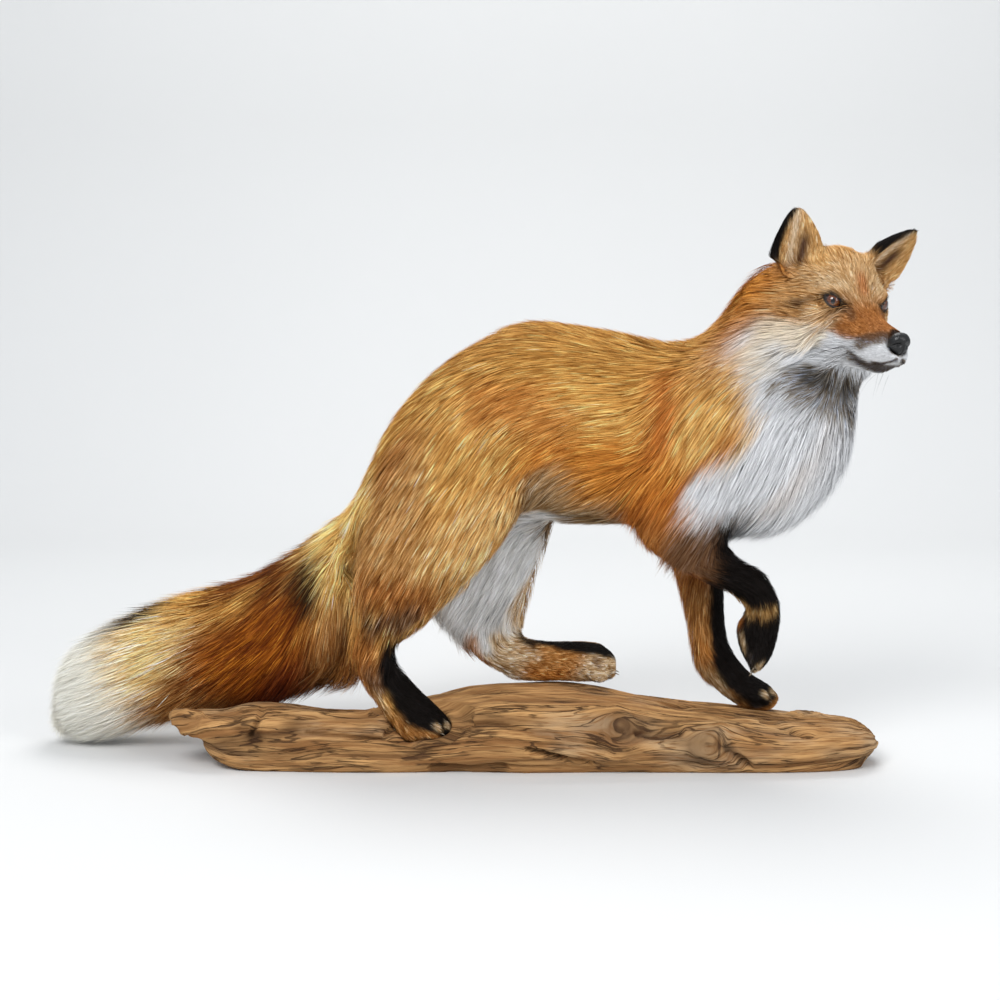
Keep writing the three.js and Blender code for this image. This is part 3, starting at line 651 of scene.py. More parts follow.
# A patch is painted over the ground: its colour, whether it is on both sides, the width of its core and
# of its fading edge in millimetres, how strongly it covers, how ragged its edge is, and its line.
PATCHES = (
    ("rufous", BOTH, 7, 12, .85, .6, "chest", (.20, .25, .98), (.18, .13, .75), (.15, .13, .50)),
    ("rufous", BOTH, 10, 20, .38, .5, "chest", (.08, .05, .38), (.14, .10, .22), (.02, .2, .1)),
    ("rufous", BOTH, 4, 12, .6, .7, "chest", (.44, .13, .52), (.36, .13, .40), (.22, .13, .28)),
    ("rufous", BOTH, 14, 24, .45, .6, "rump", (.60, .1, .68), (.76, .1, .66), "barrel", (.18, .04, .50)),
    ("rust", BOTH, 8, 14, .6, .8, "rump", (.24, .2, .50), (.17, .2, .34)),
    ("cream", BOTH, 3, 14, .35, .8, "barrel", (.9, .0, .55), (.3, .0, .63)),
    ("belly", BOTH, 22, 13, .9, .9, "barrel", (.65, .15, .04), (.1, .15, .10), "rump", (.84, .15, .30)),
    ("cream", BOTH, 20, 8, .7, .8, "neck", (.44, .14, .55), (.38, .18, .44), "chest", (.55, .15, .82),
     (.57, .13, .70), (.62, .12, .58), (.56, .11, .46), (.48, .12, .34)),
    ("white", BOTH, 24, 9, 1, .7, "neck", (.54, .11, .50), (.46, .16, .44), (.41, .2, .34), "chest",
     (.62, .15, .82), (.64, .13, .70), (.70, .12, .62), (.69, .11, .55), (.64, .11, .46), (.54, .12, .34),
     (.41, .14, .30), (.36, .15, .25)),
    ("warm_white", BOTH, 10, 13, .75, .9, "neck", (.40, .14, .58), (.37, .14, .46)),
    ("white", ONE, 44, 10, 1, .6, "neck", (.98, .3, .30), "chest", (1.0, .5, .55), (.82, .5, .2)),
    ("white", ONE, 38, 10, 1, .6, "chest", (.82, .5, .2), (.50, .5, .12)),
    # Under the jaw, the grey and the throat's dark colour are partly dark hair tips and partly painted shade.
    ("grey", ONE, 12, 18, .75, .9, "neck", (.52, .12, .30), (.66, .14, .22), (.80, .25, .15)),
    ("throat", ONE, 7, 10, .9, .9, "neck", (.60, .08, .38), (.70, .10, .34), (.80, .2, .30),
     (.86, .45, .28)),
    ("thigh_white", ONE, 27, 9, 1, .4, "rump", (.80, .48, .15), (.62, .46, -.08), "thigh_right",
     (.62, 1.0, .35)),
    ("thigh_white", ONE, 26, 7, 1, .5, "thigh_left", (.66, .2, .9), (.46, .1, .5), (.25, .2, .25),
     (.42, .2, .15)),
    # Painted shade on the far thigh's white inside.
    ("grey", ONE, 5, 12, .4, .8, "thigh_left", (.55, .23, .36), (.50, .23, .20)),
    ("orange", ONE, 4, 5, .9, .5, "thigh_left", (.93, .5, .80), (.80, .43, .26)),
    ("orange", ONE, 5, 6, .85, .5, "hock_left", (.08, .4, .85), (.12, .45, .45)),
    ("rust", ONE, 5, 6, .8, .5, "hock_left", (.18, .49, .40), (.10, .3, .2)),
    ("cream", ONE, 7, 6, .9, .5, "hock_left", (.30, .23, .80), (.34, .20, .58)),
    ("black", ONE, 3.5, 3, .95, .6, "hock_left", (.44, .5, .86), (.56, .35, .72), (.62, .15, .66)),
    ("cream", ONE, 4, 4, .7, .5, "hock_left", (.56, .17, .51), (.64, .17, .51)),
    ("orange", ONE, 4, 5, .9, .7, "hock_left", (.60, .2, .14), (.84, .15, .18)),
    ("black", ONE, 9, 4, 1, .7, "hock_left", (.66, .5, .82), "hind_paw_left", (.1, .3, .95),
     (.5, .3, .95), (.85, .5, .78)),
    ("brown", ONE, 2, 4, .85, .9, "hind_paw_left", (.45, .1, .62), (.62, .1, .30)),
    ("black", ONE, 2, 4, .85, .9, "hind_paw_left", (.80, .1, .70), (.88, .1, .40)),
    ("rust", ONE, 15, 12, .95, .8, "thigh_right", (.10, .3, .60), (.30, .2, .58), (.52, .2, .52)),
    ("brown", ONE, 12, 9, .95, .9, "thigh_right", (.14, .2, .22), (.38, .2, .34)),
    ("hip", ONE, 5, 5, .7, .8, "hock_right", (.24, .3, 1.0), (.40, .3, .9)),
    ("rust", ONE, 12, 7, .95, .8, "hock_right", (.14, .3, 1.0), (.24, .3, .5)),
    ("brown", ONE, 6, 6, .9, .9, "hock_right", (.20, .2, .66), (.32, .2, .36)),
    ("cream", ONE, 3, 6, .7, .9, "hock_right", (.30, .3, .28), (.44, .3, .10)),
    ("dark_gold", ONE, 5, 6, .7, .6, "hock_right", (.24, .5, .39), (.43, .48, .05)),
    ("black", ONE, 11, 5, 1, .9, "thigh_right", (.10, .15, .34), (.12, .15, .04)),
    ("black", ONE, 8, 4, 1, .4, "thigh_right", (.24, .5, .03), "hock_right", (.50, .4, .78)),
    ("black", ONE, 20, 5, 1, .7, "hock_right", (.62, .30, .74), (.72, .25, .5), (.86, .2, .2),
     "hind_paw_right", (.66, .3, .75), (.85, .3, .62)),
    ("rust", ONE, 24, 8, 1, .6, "forearm_left", (.40, .5, 1.1), (.45, .5, .7)),
    ("orange", ONE, 8, 8, .8, .9, "forearm_left", (.15, .4, .75), (.22, .4, .30)),
    ("black", ONE, 20, 5, 1, .7, "forearm_left", (.84, .4, 1.1), (.82, .4, .1), "forepaw_left",
     (.42, .4, .85), (.60, .4, .55), (.72, .4, .42)),
    ("orange", ONE, 5, 5, .85, .6, "forearm_left", (.56, .2, .14), (.60, .2, .04)),
    ("belly", ONE, 5, 6, .8, .7, "forepaw_left", (.11, .40, .81), (.28, .35, .43), (.44, .45, .20)),
    ("rust", ONE, 22, 8, 1, .7, "forearm_right", (.0, .25, 1.0), (.22, .25, .82), (.42, .25, .74)),
    ("brown", ONE, 19, 9, .95, .8, "forearm_right", (.48, .25, .72), (.32, .25, .84)),
    ("brown", ONE, 17, 7, .95, .8, "forearm_right", (.46, .2, .90), (.60, .2, 1.0)),
    ("black", ONE, 19, 6, 1, .7, "forearm_right", (.68, .22, .92), (.70, .3, .62)),
    ("black", ONE, 22, 6, 1, .6, "forearm_right", (.62, .5, .95), (.66, .5, .62), (.88, .5, .42),
     (.95, .5, .1), "forepaw_right", (.75, .5, .6), (.55, .5, .1)),
    ("band", ONE, 3, 3, .95, .8, "forearm_right", (.66, .49, .32), (.75, .46, .20), (.79, .37, .05),
     (.88, .28, .06), (.94, .34, .11)),
    ("rust", ONE, 4, 4, .85, .6, "forepaw_right", (.15, .55, .85), (.15, .5, .78)),
    ("cream", ONE, 2.2, 3, .8, .6, "forepaw_right", (.14, .3, .60), (.24, .3, .42)),
    ("straw", ONE, 16, 10, .9, .7, "rump", (.08, .32, .20), "tail_root", (.84, .3, .84), (1.0, .2, .70)),
    ("black", ONE, 15, 6, 1, .9, "tail_root", (.50, .32, .90), (.54, .20, .74)),
    ("black", ONE, 12, 6, 1, .9, "tail_root", (.54, .20, .74), (.60, .16, .54)),
    ("black", ONE, 8, 8, .9, .9, "tail_root", (.18, .20, .66), (.50, .20, .66)),
    ("gold", ONE, 7, 12, .75, .9, "tail_root", (.20, .2, .72), "tail_middle", (.70, .2, .76),
     (.40, .2, .70)),
    ("gold", ONE, 4, 10, .6, .9, "tail_root", (.62, .1, .42), (.20, .1, .32)),
    ("dark_gold", ONE, 12, 10, .8, .9, "tail_root", (1.0, .2, .50), (.86, .3, .20)),
    ("gold", ONE, 8, 9, .8, .9, "tail_middle", (.30, .1, .30), "tail_tip", (.98, .2, .22)),
    ("black", ONE, 7, 14, .85, .9, "tail_root", (.70, .4, .02), (.30, .4, -.02), "tail_middle",
     (.80, .4, -.02), (.5, .4, .02)),
    ("black", ONE, 13, 8, .9, .9, "tail_root", (.62, .5, 1.0), (.30, .5, .90)),
    ("black", ONE, 10, 9, .85, .9, "tail_root", (.30, .5, .90), (.0, .5, .74), "tail_middle",
     (.5, .5, .98)),
    ("tip_white", ONE, 34, 6, 1, .9, "tail_tip", (.20, .5, .85), (.38, .5, .55), (.47, .5, .35),
     (.42, .5, .1), (.0, .5, .2), (.0, .5, .7)),
    ("black", ONE, 19, 6, .95, .9, "tail_tip", (.98, .45, 1.0), (.50, .45, .84)),
    ("rufous", ONE, 2, 8, .6, .4, (4, 0, 11), (-6, 0, 22)),
    ("cream", BOTH, 3, 9, .8, .4, (-3, 20, 14), (-12, 30, 17), (-20, 36, 16)),
    ("cream", BOTH, 4, 8, .75, .4, (4, 30, -20), (-10, 40, -20), (-22, 46, -22)),
    ("white", BOTH, 6, 5, .95, .4, (72, 12, -33), (56, 18, -40), (34, 26, -43)),
    ("white", BOTH, 12, 8, .95, .5, (24, 30, -46), (-6, 40, -50), (-40, 56, -58)),
    ("warm_white", BOTH, 10, 9, .9, .6, (-14, 42, -36), (-30, 53, -42), (-44, 56, -48)),
    ("muzzle", BOTH, 6, 6, .9, .5, (36, 20, -22), (26, 26, -26), (16, 32, -26)),
    ("cheek", BOTH, 4, 8, .5, .7, (-6, 36, -20), (-26, 50, -24), (-50, 58, -26)),
    ("smudge", BOTH, 4, 7, .8, .6, (64, 12, -26), (54, 16, -31), (42, 20, -37)),
    ("smudge", BOTH, 1.5, 5, .6, .5, (7, 20, -5), (12, 18, -8), (20, 20, -13)),
    ("smudge", BOTH, 2.5, 5, .85, .4, (-15, 33, -3), (-24, 42, -7), (-36, 52, -12)),
    ("nose_black", BOTH, 1.8, 1.8, .95, .2, (2, 21, -5), (8, 18, -8)),
    ("nose_black", ONE, 4, 4, .95, .3, (70, 0, -20), (72, 6, -24)),
    ("lip", BOTH, 1.2, 1.6, .95, .2, (84, 2, -43), (76, 10, -49), (55, 18, -52.5), (40, 22, -49),
     (29, 25, -45.5)),
)


def painted(points, colours):
    """The coat's colour at each point, from the ground and the patches over it."""
    total = np.zeros(len(points))
    colour = np.zeros((len(points), 3))
    for name, paired, *line in GROUND:
        for side in sides(line, paired):
            gap, _ = along(points, side)
            weight = nearness(gap)
            total += weight
            colour += weight[:, None] * np.array(colours[name])
    colour /= total[:, None]
    rough = layered(points, 90, 5)
    for name, paired, core, fade, strength, ragged, *line in PATCHES:
        for side in sides(line, paired):
            gap, _ = along(points, side)
            mask = strength * (1 - step(gap / MM + rough * ragged * fade, core, core + fade))
            colour = blend(colour, colours[name], mask)
    return colour


# ---- Skin -------------------------------------------------------------------------------------------

PIECES = {
    "coat_head": ("head", "ear_left", "ear_right"),
    "coat_neck": ("neck",),
    "coat_chest": ("chest",),
    "coat_barrel": ("barrel",),
    "coat_rump": ("rump",),
    "coat_tail_front": ("tail_root", "tail_middle"),
    "coat_tail_back": ("tail_tip",),
    "coat_forelegs": ("forearm_right", "forearm_left", "forepaw_right", "forepaw_left"),
    "coat_hind_legs": (
        "thigh_right", "thigh_left", "hock_right", "hock_left", "hind_paw_right", "hind_paw_left",
    ),
}
# Where the tail's front and the hind leg's rear nearly touch, and the loose skin behind the far thigh:
# a node, and two corners of a part of its box. The coat fills the gap, so the skin isn't sunk there.
TOUCHING = (
    ("tail_root", (0.60, -0.2, 0.10), (1.60, 1.2, 0.72)),
    ("thigh_left", (-0.3, -1, -0.1), (0.45, 2, 0.8)),
    ("forearm_left", (-0.4, -1, -0.2), (0.75, 2, 1.1)),
)
# Loose coat with no bone beneath it: a centre and a radius in millimetres.
FULLNESS = (
    ((-203, 22, 104), 25),
    ((-189, 14, 148), 17),
    ((-187, 2, 190), 17),
    ((377, -6, 500), 10),
)
TIPS_OUT = 0.85  # how much of the coat's depth the skin lies under the outline
THICK_TIPS_OUT = 0.12  # and how much less under the thickest coat
TOUCHING_FADE = 12 * MM  # how far inside such a part the gap is fully filled
SINKINGS = 4  # the skin is sunk in so many small moves
GRAIN = 3.6 * MM  # the skin's own fineness, before its face and toes are refined

EYE_BALL = 9.6
EYE_CENTRE = np.array((-6.0, 27.5, -1.5))
GAZE = np.array((0.80, 0.59, 0.08))
EYE_SLANT = 0.35  # the inner corner lies lower
EYE_HALF_WIDTH = 1.22  # radians, as seen from the eye's centre
LID_RISE = 0.50
LID_FALL = 0.44
LID_SKEW = 0.22  # how far the upper lid's peak lies outwards and the lower lid's inwards
LID_CURVE = 0.75
LID_GAP = 1.0  # from the eye to the lids
LID_THICKNESS = 0.6
UPPER_LID = 0.7  # how much thicker the upper lid is
BEHIND_EYE = 7.0  # how far from the eye's centre the skin lies, behind the glass
JAW_SET_BACK = 10.0  # how far the lower jaw's front lies behind the nose's
JAW_CUT, LIP_CUT, LIP_WIDTH = 1.1, 2.2, 1.5  # how deep the jaw and the lips' line are set in; its width
MOUTH_LINE = ((29, 40, 55, 72, 84), (-45.5, -49, -52.5, -50.5, -43))  # how far forward, and how high
SOCKET_RISE = 7.4  # how far forward of the eye's centre the face stands round it, before the lids
MOUTH = ((84, 1, -42), (81, 6, -47), (72, 13, -50.5), (55, 18, -52.5), (40, 22, -49), (29, 25, -45.5))
TOE = 8.5
# Each paw: where its toes stand in its node's box, which way they point, and which way they spread.
PAWS = {
    "hind_paw_right": ((0.80, 0.5, 0.25), (1, 0, -0.1), (0.05, 1, 0)),
    "hind_paw_left": ((0.72, 0.5, 0.22), (1, 0, 0), (0.05, 1, 0)),
    "forepaw_left": ((0.82, 0.5, 0.26), (1, 0, -0.1), (0.05, 1, 0)),
    "forepaw_right": ((0.45, 0.5, 0.16), (-0.25, 0, -1), (0.1, 1, 0)),
}
TOE_SPREAD = (-17.0, -6.5, 6.5, 17.0)
TOE_REACH = (-7.0, 1.0, 1.0, -7.0)
TOE_SHAPE = (1.25, 0.92, 0.95)  # a toe's length, width and height against its radius
SAME_PAW = 20 * MM  # toes nearer each other than this share a paw
CLEFT_DEPTH = 1.8 * MM
SOLES = ("hind_paw_left", "hock_left", "hind_paw_right", "forepaw_left")  # what rests on the wood


def toes():
    """Each toe's centre and its pointing and spreading directions."""
    found = []
    for paw, (place, ahead, aside) in PAWS.items():
        ahead, aside = unit(ahead), unit(aside)
        for spread, reach in zip(TOE_SPREAD, TOE_REACH):
            found.append((spot(paw, *place) + (aside * spread + ahead * reach) * MM, ahead, aside))
    return found


def from_toes(places):
    """How far each place is from the nearest toe's centre."""
    return np.min([np.linalg.norm(places - centre, axis=1) for centre, *_ in toes()], axis=0)


def between_toes(points):
    """1 in the narrow clefts between neighbouring toes and 0 elsewhere."""
    found = toes()
    cleft = np.zeros(len(points))
    for (here, _, aside), (there, *_) in zip(found[:-1], found[1:]):
        if np.linalg.norm(here - there) < SAME_PAW:
            arm = (points - (here + there) / 2) / MM
            near = 1 - step(np.linalg.norm(arm, axis=1), 9, 13)
            cleft = np.maximum(cleft, near * (1 - step(np.abs(arm @ aside), 0.5, 2.4)))
    return cleft


def eye_at(side):
    """An eye's centre and the way it looks, in the head's own directions."""
    return EYE_CENTRE * (1, side, 1), unit(GAZE * (1, side, 1))


def from_mouth(points, side):
    """For head points: their distance to one side of the mouth's line, and how far along it they are."""
    return along(points, np.array(MOUTH) * (1, side, 1))


def eye_parts(points, side):
    """For head points: their aim and distance from an eye's centre, and how far outside its opening they are,
    then how far across it and above its middle, in radians."""
    centre, gaze = eye_at(side)
    inward = np.array((0.59, -0.80 * side, -EYE_SLANT))
    inward = unit(inward - gaze * (inward @ gaze))
    upward = np.cross(gaze, inward) * -side
    arm = points - centre
    radius = np.linalg.norm(arm, axis=1)
    aim = arm / np.maximum(radius, 1e-6)[:, None]
    angle = np.arccos(np.clip(aim @ gaze, -1, 1))
    across, above = aim @ inward, aim @ upward
    flat = np.maximum(np.hypot(across, above), 1e-6)
    across, above = angle * across / flat, angle * above / flat
    reach = across / EYE_HALF_WIDTH
    reach = reach + np.where(above > 0, 1, -1) * LID_SKEW * np.clip(1 - reach**2, 0, 1)
    open_share = np.clip(1 - reach**2, 0, 1) ** LID_CURVE
    lid = np.where(above > 0, LID_RISE, LID_FALL) * open_share
    outside = np.where(np.abs(across) < EYE_HALF_WIDTH, np.abs(above) - lid,
                       np.hypot(np.abs(across) - EYE_HALF_WIDTH, above))
    return aim, radius, outside * EYE_BALL, across, above


def below_mouth(points):
    """How far head points lie below the mouth's line, and how much of the jaw's front they are on."""
    height = np.interp(points[:, 0], *MOUTH_LINE)
    return height - points[:, 2], step(points[:, 0], 24, 34)


def sculpted_face(points):
    """Head points in millimetres, with the lids, the sockets and the mouth's line drawn in."""
    for side in (-1, 1):
        centre, gaze = eye_at(side)
        arm = points - centre
        ahead = arm @ gaze
        aside = np.linalg.norm(arm - ahead[:, None] * gaze, axis=1)
        rise = np.maximum(SOCKET_RISE - ahead, 0) * (1 - step(aside, 8, 20)) * (ahead > -16)
        points = points + gaze * rise[:, None]
        aim, radius, outside, _, above = eye_parts(points, side)
        near = (radius < 24) & (aim @ gaze > 0.1)
        lid = LID_THICKNESS + UPPER_LID * (above > 0)
        rim = EYE_BALL + LID_GAP + lid * step(outside, 0.4, 2.2)
        lidded = rim + (np.maximum(radius, rim) - rim) * step(outside, 1.4, 8.5)
        sunk = BEHIND_EYE + (EYE_BALL + LID_GAP - BEHIND_EYE) * step(outside, -1.0, 0)
        wanted = np.where(outside > 0, lidded, sunk)
        points = np.where(near[:, None], centre + aim * wanted[:, None], points)
    below, front = below_mouth(points)
    set_back = JAW_SET_BACK * step(below, -1, 5) * step(points[:, 0], 45, 75)
    points = points - np.array((1, 0, 0)) * set_back[:, None]
    for side in (-1, 1):
        gap, share = from_mouth(points, side)
        outward = unit(points * (0, 1, 0) + (-20, 0, 0))
        depth = LIP_CUT * np.exp(-((gap / LIP_WIDTH) ** 2)) * (1 - 0.5 * step(share, 0.8, 1))
        jaw = JAW_CUT * step(below, 0, 2) * (1 - step(below, 7, 13)) * front
        points = points - np.where((points[:, 1] * side > 0)[:, None], (depth + jaw)[:, None] * outward, 0)
    return points


def joined_flesh():
    """The frame's flesh, the toes and the loose coat as one even shell."""
    rough = merged((*FLESH, *EARS))
    for centre, ahead, aside in toes():
        long, wide, high = TOE_SHAPE
        axes = np.array((ahead * long, aside * wide, np.cross(ahead, aside) * high))
        place = Matrix.Translation(centre) @ Matrix(axes.T.tolist()).to_4x4()
        bmesh.ops.create_icosphere(rough, subdivisions=3, radius=TOE * MM, matrix=place)
    for centre, radius in FULLNESS:
        place = Matrix.Translation(np.array(centre) * MM)
        bmesh.ops.create_icosphere(rough, subdivisions=3, radius=radius * MM, matrix=place)
    return fused(rough, GRAIN)


def inset(mesh):
    """Rounds the shell off and sinks it by the coat's depth."""
    places = places_of(mesh)
    edges = edges_of(mesh)
    _, _, depth, _ = lie_of_coat(places)
    soft = step(depth, 8 * MM, 14 * MM)
    for _, height, gap, *_ in ears_at(places):
        corner = step(gap, 16, 22) * (1 - step(gap, 38, 44))
        corner = corner * step(height, -0.4, -0.2) * (1 - step(height, 0.1, 0.25))
        soft = np.maximum(soft, corner)
    depth = depth * (TIPS_OUT - THICK_TIPS_OUT * step(depth, 15 * MM, 20 * MM))
    facing = step(np.abs(normals_of(mesh)[:, 0]), 0.2, 0.6)
    for node, low, high in TOUCHING:
        low, high = spot(node, *low), spot(node, *high)
        within = np.minimum(places - low, high - places).min(1)
        depth = depth * (1 - 0.9 * step(within, 0, TOUCHING_FADE) * facing)
    for node in SOLES:
        low, high = box_of(node)
        over = np.all((places[:, :2] > low[:2]) & (places[:, :2] < high[:2]), axis=1)
        depth = depth * (1 - 0.85 * over * (1 - step(places[:, 2] - low[2], 3 * MM, 9 * MM)))
    places = blend(evened(places, edges, 25, STEADY), evened(places, edges, 80, SMOOTH), soft)
    for _ in range(SINKINGS):
        move(mesh, places)
        places = places - normals_of(mesh) * depth[:, None] / SINKINGS
        places = blend(places, evened(places, edges, 3, SMOOTH), soft)
    move(mesh, places)


def refine(mesh):
    """Makes the face's and the toes' mesh finer, and the lids and lips finer still."""
    places = places_of(mesh)
    head = HEAD.local(places)
    chosen = (head[:, 0] > -66) & (np.abs(head[:, 1]) < 95) & (head[:, 2] > -78) & (head[:, 0] < 100)
    chosen |= from_toes(places) < 14 * MM
    finer(mesh, chosen)
    edges = edges_of(mesh)
    places = places_of(mesh)
    face = step(HEAD.local(places)[:, 0], -66, -54)
    places = blend(places, evened(places, edges, 6, STEADY), face)
    places = blend(places, evened(places, edges, 6, SMOOTH), face * (1 - ear_share(places)))
    move(mesh, places)
    places = places - normals_of(mesh) * (between_toes(places) * CLEFT_DEPTH)[:, None]
    move(mesh, places)
    head = HEAD.local(places)
    gaps = [np.linalg.norm(head - eye_at(side)[0], axis=1) - 12 for side in (-1, 1)]
    gaps += [from_mouth(head, side)[0] for side in (-1, 1)]
    finer(mesh, np.min(gaps, axis=0) < 6.5)
    edges = edges_of(mesh)
    places = places_of(mesh)
    near = 1 - step(np.linalg.norm(HEAD.local(places) - (20, 0, -20), axis=1), 60, 75)
    move(mesh, blend(places, evened(places, edges, 3, STEADY), near))


def skin_colours(places, normals, colours):
    """Colour, bareness and hair density at each place."""
    colour = painted(places, colours)
    bare = np.zeros(len(places))
    hair = np.ones(len(places))
    for share, height, gap, reach, _, opens in ears_at(places):
        facing = normals @ opens
        levels = np.linspace(0, 1, 9)
        edges = [reach[(share > 0.5) & (np.abs(height - level) < 0.08)].max(initial=0) for level in levels]
        from_rim = np.interp(height, levels, edges) - reach
        inside = share * step(facing, -0.15, 0.25)
        # Painted shade: a dark patch in each ear's hollow stands in for the shade inside its cup.
        hollow = inside * np.exp(-(((reach + 2) / 6) ** 2))
        hollow = hollow * (1 - step(height, 0.45, 0.75)) * step(height, 0, 0.15)
        back = share * (1 - step(facing, -0.4, 0.0)) * step(height, 0.12, 0.35)
        rim = share * (1 - step(from_rim, 6, 9)) * step(height, 0.10, 0.25)
        colour = blend(colour, colours["ear_gold"], inside)
        colour = blend(colour, colours["ear_cream"], inside * np.exp(-(((reach - 10) / 5) ** 2)))
        colour = blend(colour, colours["hollow"], hollow)
        colour = blend(colour, colours["black"], np.maximum(back, rim))
        hair = hair * (1 - 0.4 * hollow)
    head = HEAD.local(places)
    below, front = below_mouth(head)
    # The dark band below the mouth's line is partly the real black lower lip and partly painted shade under
    # the upper jaw.
    jaw = step(below, -1, 1) * (1 - step(below, 8, 12)) * front * (head[:, 0] < 92)
    colour = blend(colour, colours["lip"], jaw * 0.92)
    hair = hair * (1 - 0.5 * jaw)
    for side in (-1, 1):
        aim, radius, outside, across, _ = eye_parts(head, side)
        near = (radius < 20) & (aim @ eye_at(side)[1] > 0)
        rim = near * (1 - step(outside, 1.6, 3.2 + 3.0 * step(across, 0.6, 1.2)))
        colour = blend(colour, colours["rim"], rim)
        bare = np.maximum(bare, rim)
        hair = hair * (1 - near * (1 - step(outside, 0.7, 1.6)))
        gap, _ = from_mouth(head, side)
        lip = (1 - step(gap, 0.9, 1.8)) * step(head[:, 0], 24, 30)
        colour = blend(colour, colours["lip"], lip)
        bare = np.maximum(bare, lip)
        hair = hair * (1 - lip)
    nose = 1 - step(np.linalg.norm((head - (78, 0, -28)) / (9, 12, 12), axis=1), 1.0, 1.25)
    colour = blend(colour, colours["rim"], nose)
    hair = hair * (1 - nose)
    for centre, ahead, aside in toes():
        up = np.cross(ahead, aside)
        gap = np.linalg.norm(places - centre - (ahead * 5 + up * 4) * MM, axis=1) / MM
        colour = blend(colour, colours["cream"], 0.9 * (1 - step(gap, 3.2, 6)))
        reach = np.linalg.norm(places - centre, axis=1) / MM
        under = (1 - step(reach, 10, 12)) * step(normals @ -up, 0.5, 0.8)
        colour = blend(colour, colours["pad"], under)
        hair = hair * (1 - 0.8 * under)
    cleft = between_toes(places)
    # Painted shade: the clefts between the toes are darkened in colour.
    return colour * (1 - 0.75 * cleft)[:, None], bare, hair * (1 - 0.7 * cleft)


def owners(places):
    """For each place, the number of the coat piece that its nearest flesh node belongs to."""
    marks, numbers = [], []
    for number, nodes in enumerate(PIECES.values()):
        for node in nodes:
            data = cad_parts[node].data
            spots = places_of(data)
            middles = spots[triangles_of(data)].mean(axis=1)
            marks += [spots, middles]
            numbers += [number] * (len(spots) + len(middles))
    return np.array(numbers)[nearest(tree_of(np.concatenate(marks)), places)]


def coat_colours(settings):
    return {name: tuple(getattr(settings, name)) for name in COLOURS}


def build_skin(settings):
    mesh = joined_flesh()
    keep(mesh, "Owner", "INT", owners(places_of(mesh)))
    inset(mesh)
    refine(mesh)
    local = sculpted_face(HEAD.local(places_of(mesh)))
    face = step(local[:, 0], -40, -25) > 0
    places = np.where(face[:, None], HEAD.place(local), places_of(mesh))
    move(mesh, places)
    normals = normals_of(mesh)
    lie, length, depth, width = lie_of_coat(places)
    colour, bare, hair = skin_colours(places, normals, coat_colours(settings))
    keep(mesh, "Coat", "FLOAT_COLOR", colour)
    keep(mesh, "Bare", "FLOAT", bare)
    keep(mesh, "Hair", "FLOAT", hair)
    keep(mesh, "Lie", "FLOAT_VECTOR", lie)
    keep(mesh, "Size", "FLOAT_VECTOR", np.stack((length, depth, width), axis=1))
    show("skin", mesh, skin_material(), "red_coat", (*FLESH, *EARS))


def skin_material():
    shader = Shader("Skin under the coat", Specular_IOR_Level=0.3)
    colour = shader.attribute("Coat")
    bare = shader.attribute("Bare", "Fac")
    grain = shader.noise(shader.place(), 900, 4)
    shader.set(Base_Color=shader.mix(grain.rise(0.3, 0.75) * 0.4, colour, (0.05, 0.03, 0.02)))
    shader.set(Roughness=0.85 - bare * 0.4)
    shader.set(Normal=shader.bump(grain, 0.6, 0.0006))
    return shader.material


# ---- Coat -------------------------------------------------------------------------------------------

SEGMENTS = 2
# Each piece of the coat: its number of strands, how far their brightness varies, and the lines that its
# map is unrolled about, each with its own island.
COATS = {
    "coat_head": (64000, 1.1, (
        ((-110, 0, -20), (0, 0, -20), (100, 0, -36)),
        ((-48, -47, 12), (-53, -58, 92)),
        ((-44, 44, 16), (-39, 87, 80)),
    )),
    "coat_neck": (50000, 1.4, (
        ("neck", (.8, .2, 1.1), (.45, .5, .5), (.1, .6, -.2)),
    )),
    "coat_chest": (65000, 1.4, (
        ("chest", (1.1, .5, .9), (.6, .5, .55), (-.1, .5, .5)),
    )),
    "coat_barrel": (42000, 1.5, (
        ("barrel", (1.1, .5, .5), (-.1, .5, .5)),
    )),
    "coat_rump": (65000, 1.7, (
        ("rump", (1.1, .5, .8), (.5, .5, .45), (.35, .5, -.3)),
    )),
    "coat_tail_front": (58000, 2.4, (
        ("tail_root", (1.1, .4, .8), (.1, .4, .35), "tail_middle", (-.1, .45, .45)),
    )),
    "coat_tail_back": (46000, 1.2, (
        ("tail_tip", (1.1, .5, .55), (-.2, .5, .4)),
    )),
    "coat_forelegs": (46000, 1.4, (
        ("forearm_right", (-.1, .5, .9), (.9, .5, .5), "forepaw_right", (.4, .5, -.1)),
        ("forearm_left", (.5, .5, 1.2), (.65, .5, .0), "forepaw_left", (1.1, .5, .2)),
    )),
    "coat_hind_legs": (60000, 1.7, (
        ("thigh_right", (.6, .5, 1.2), "hock_right", (.2, .5, 1.1), (.55, .5, .1), "hind_paw_right",
         (1.1, .5, .2)),
        ("thigh_left", (.7, .5, 1.2), "hock_left", (.2, .5, .7), "hind_paw_left", (1.1, .5, .4)),
    )),
}
# A darker hair is also redder, and so is the painted shade at the roots, where it stands in for light passing
# through the hair: what is added to the power of each channel, and what keeps the mean colour.
DEEPENS = np.array((-0.10, 0.24, 0.80))
GAINS = np.array((-0.01, -0.06, -0.14))
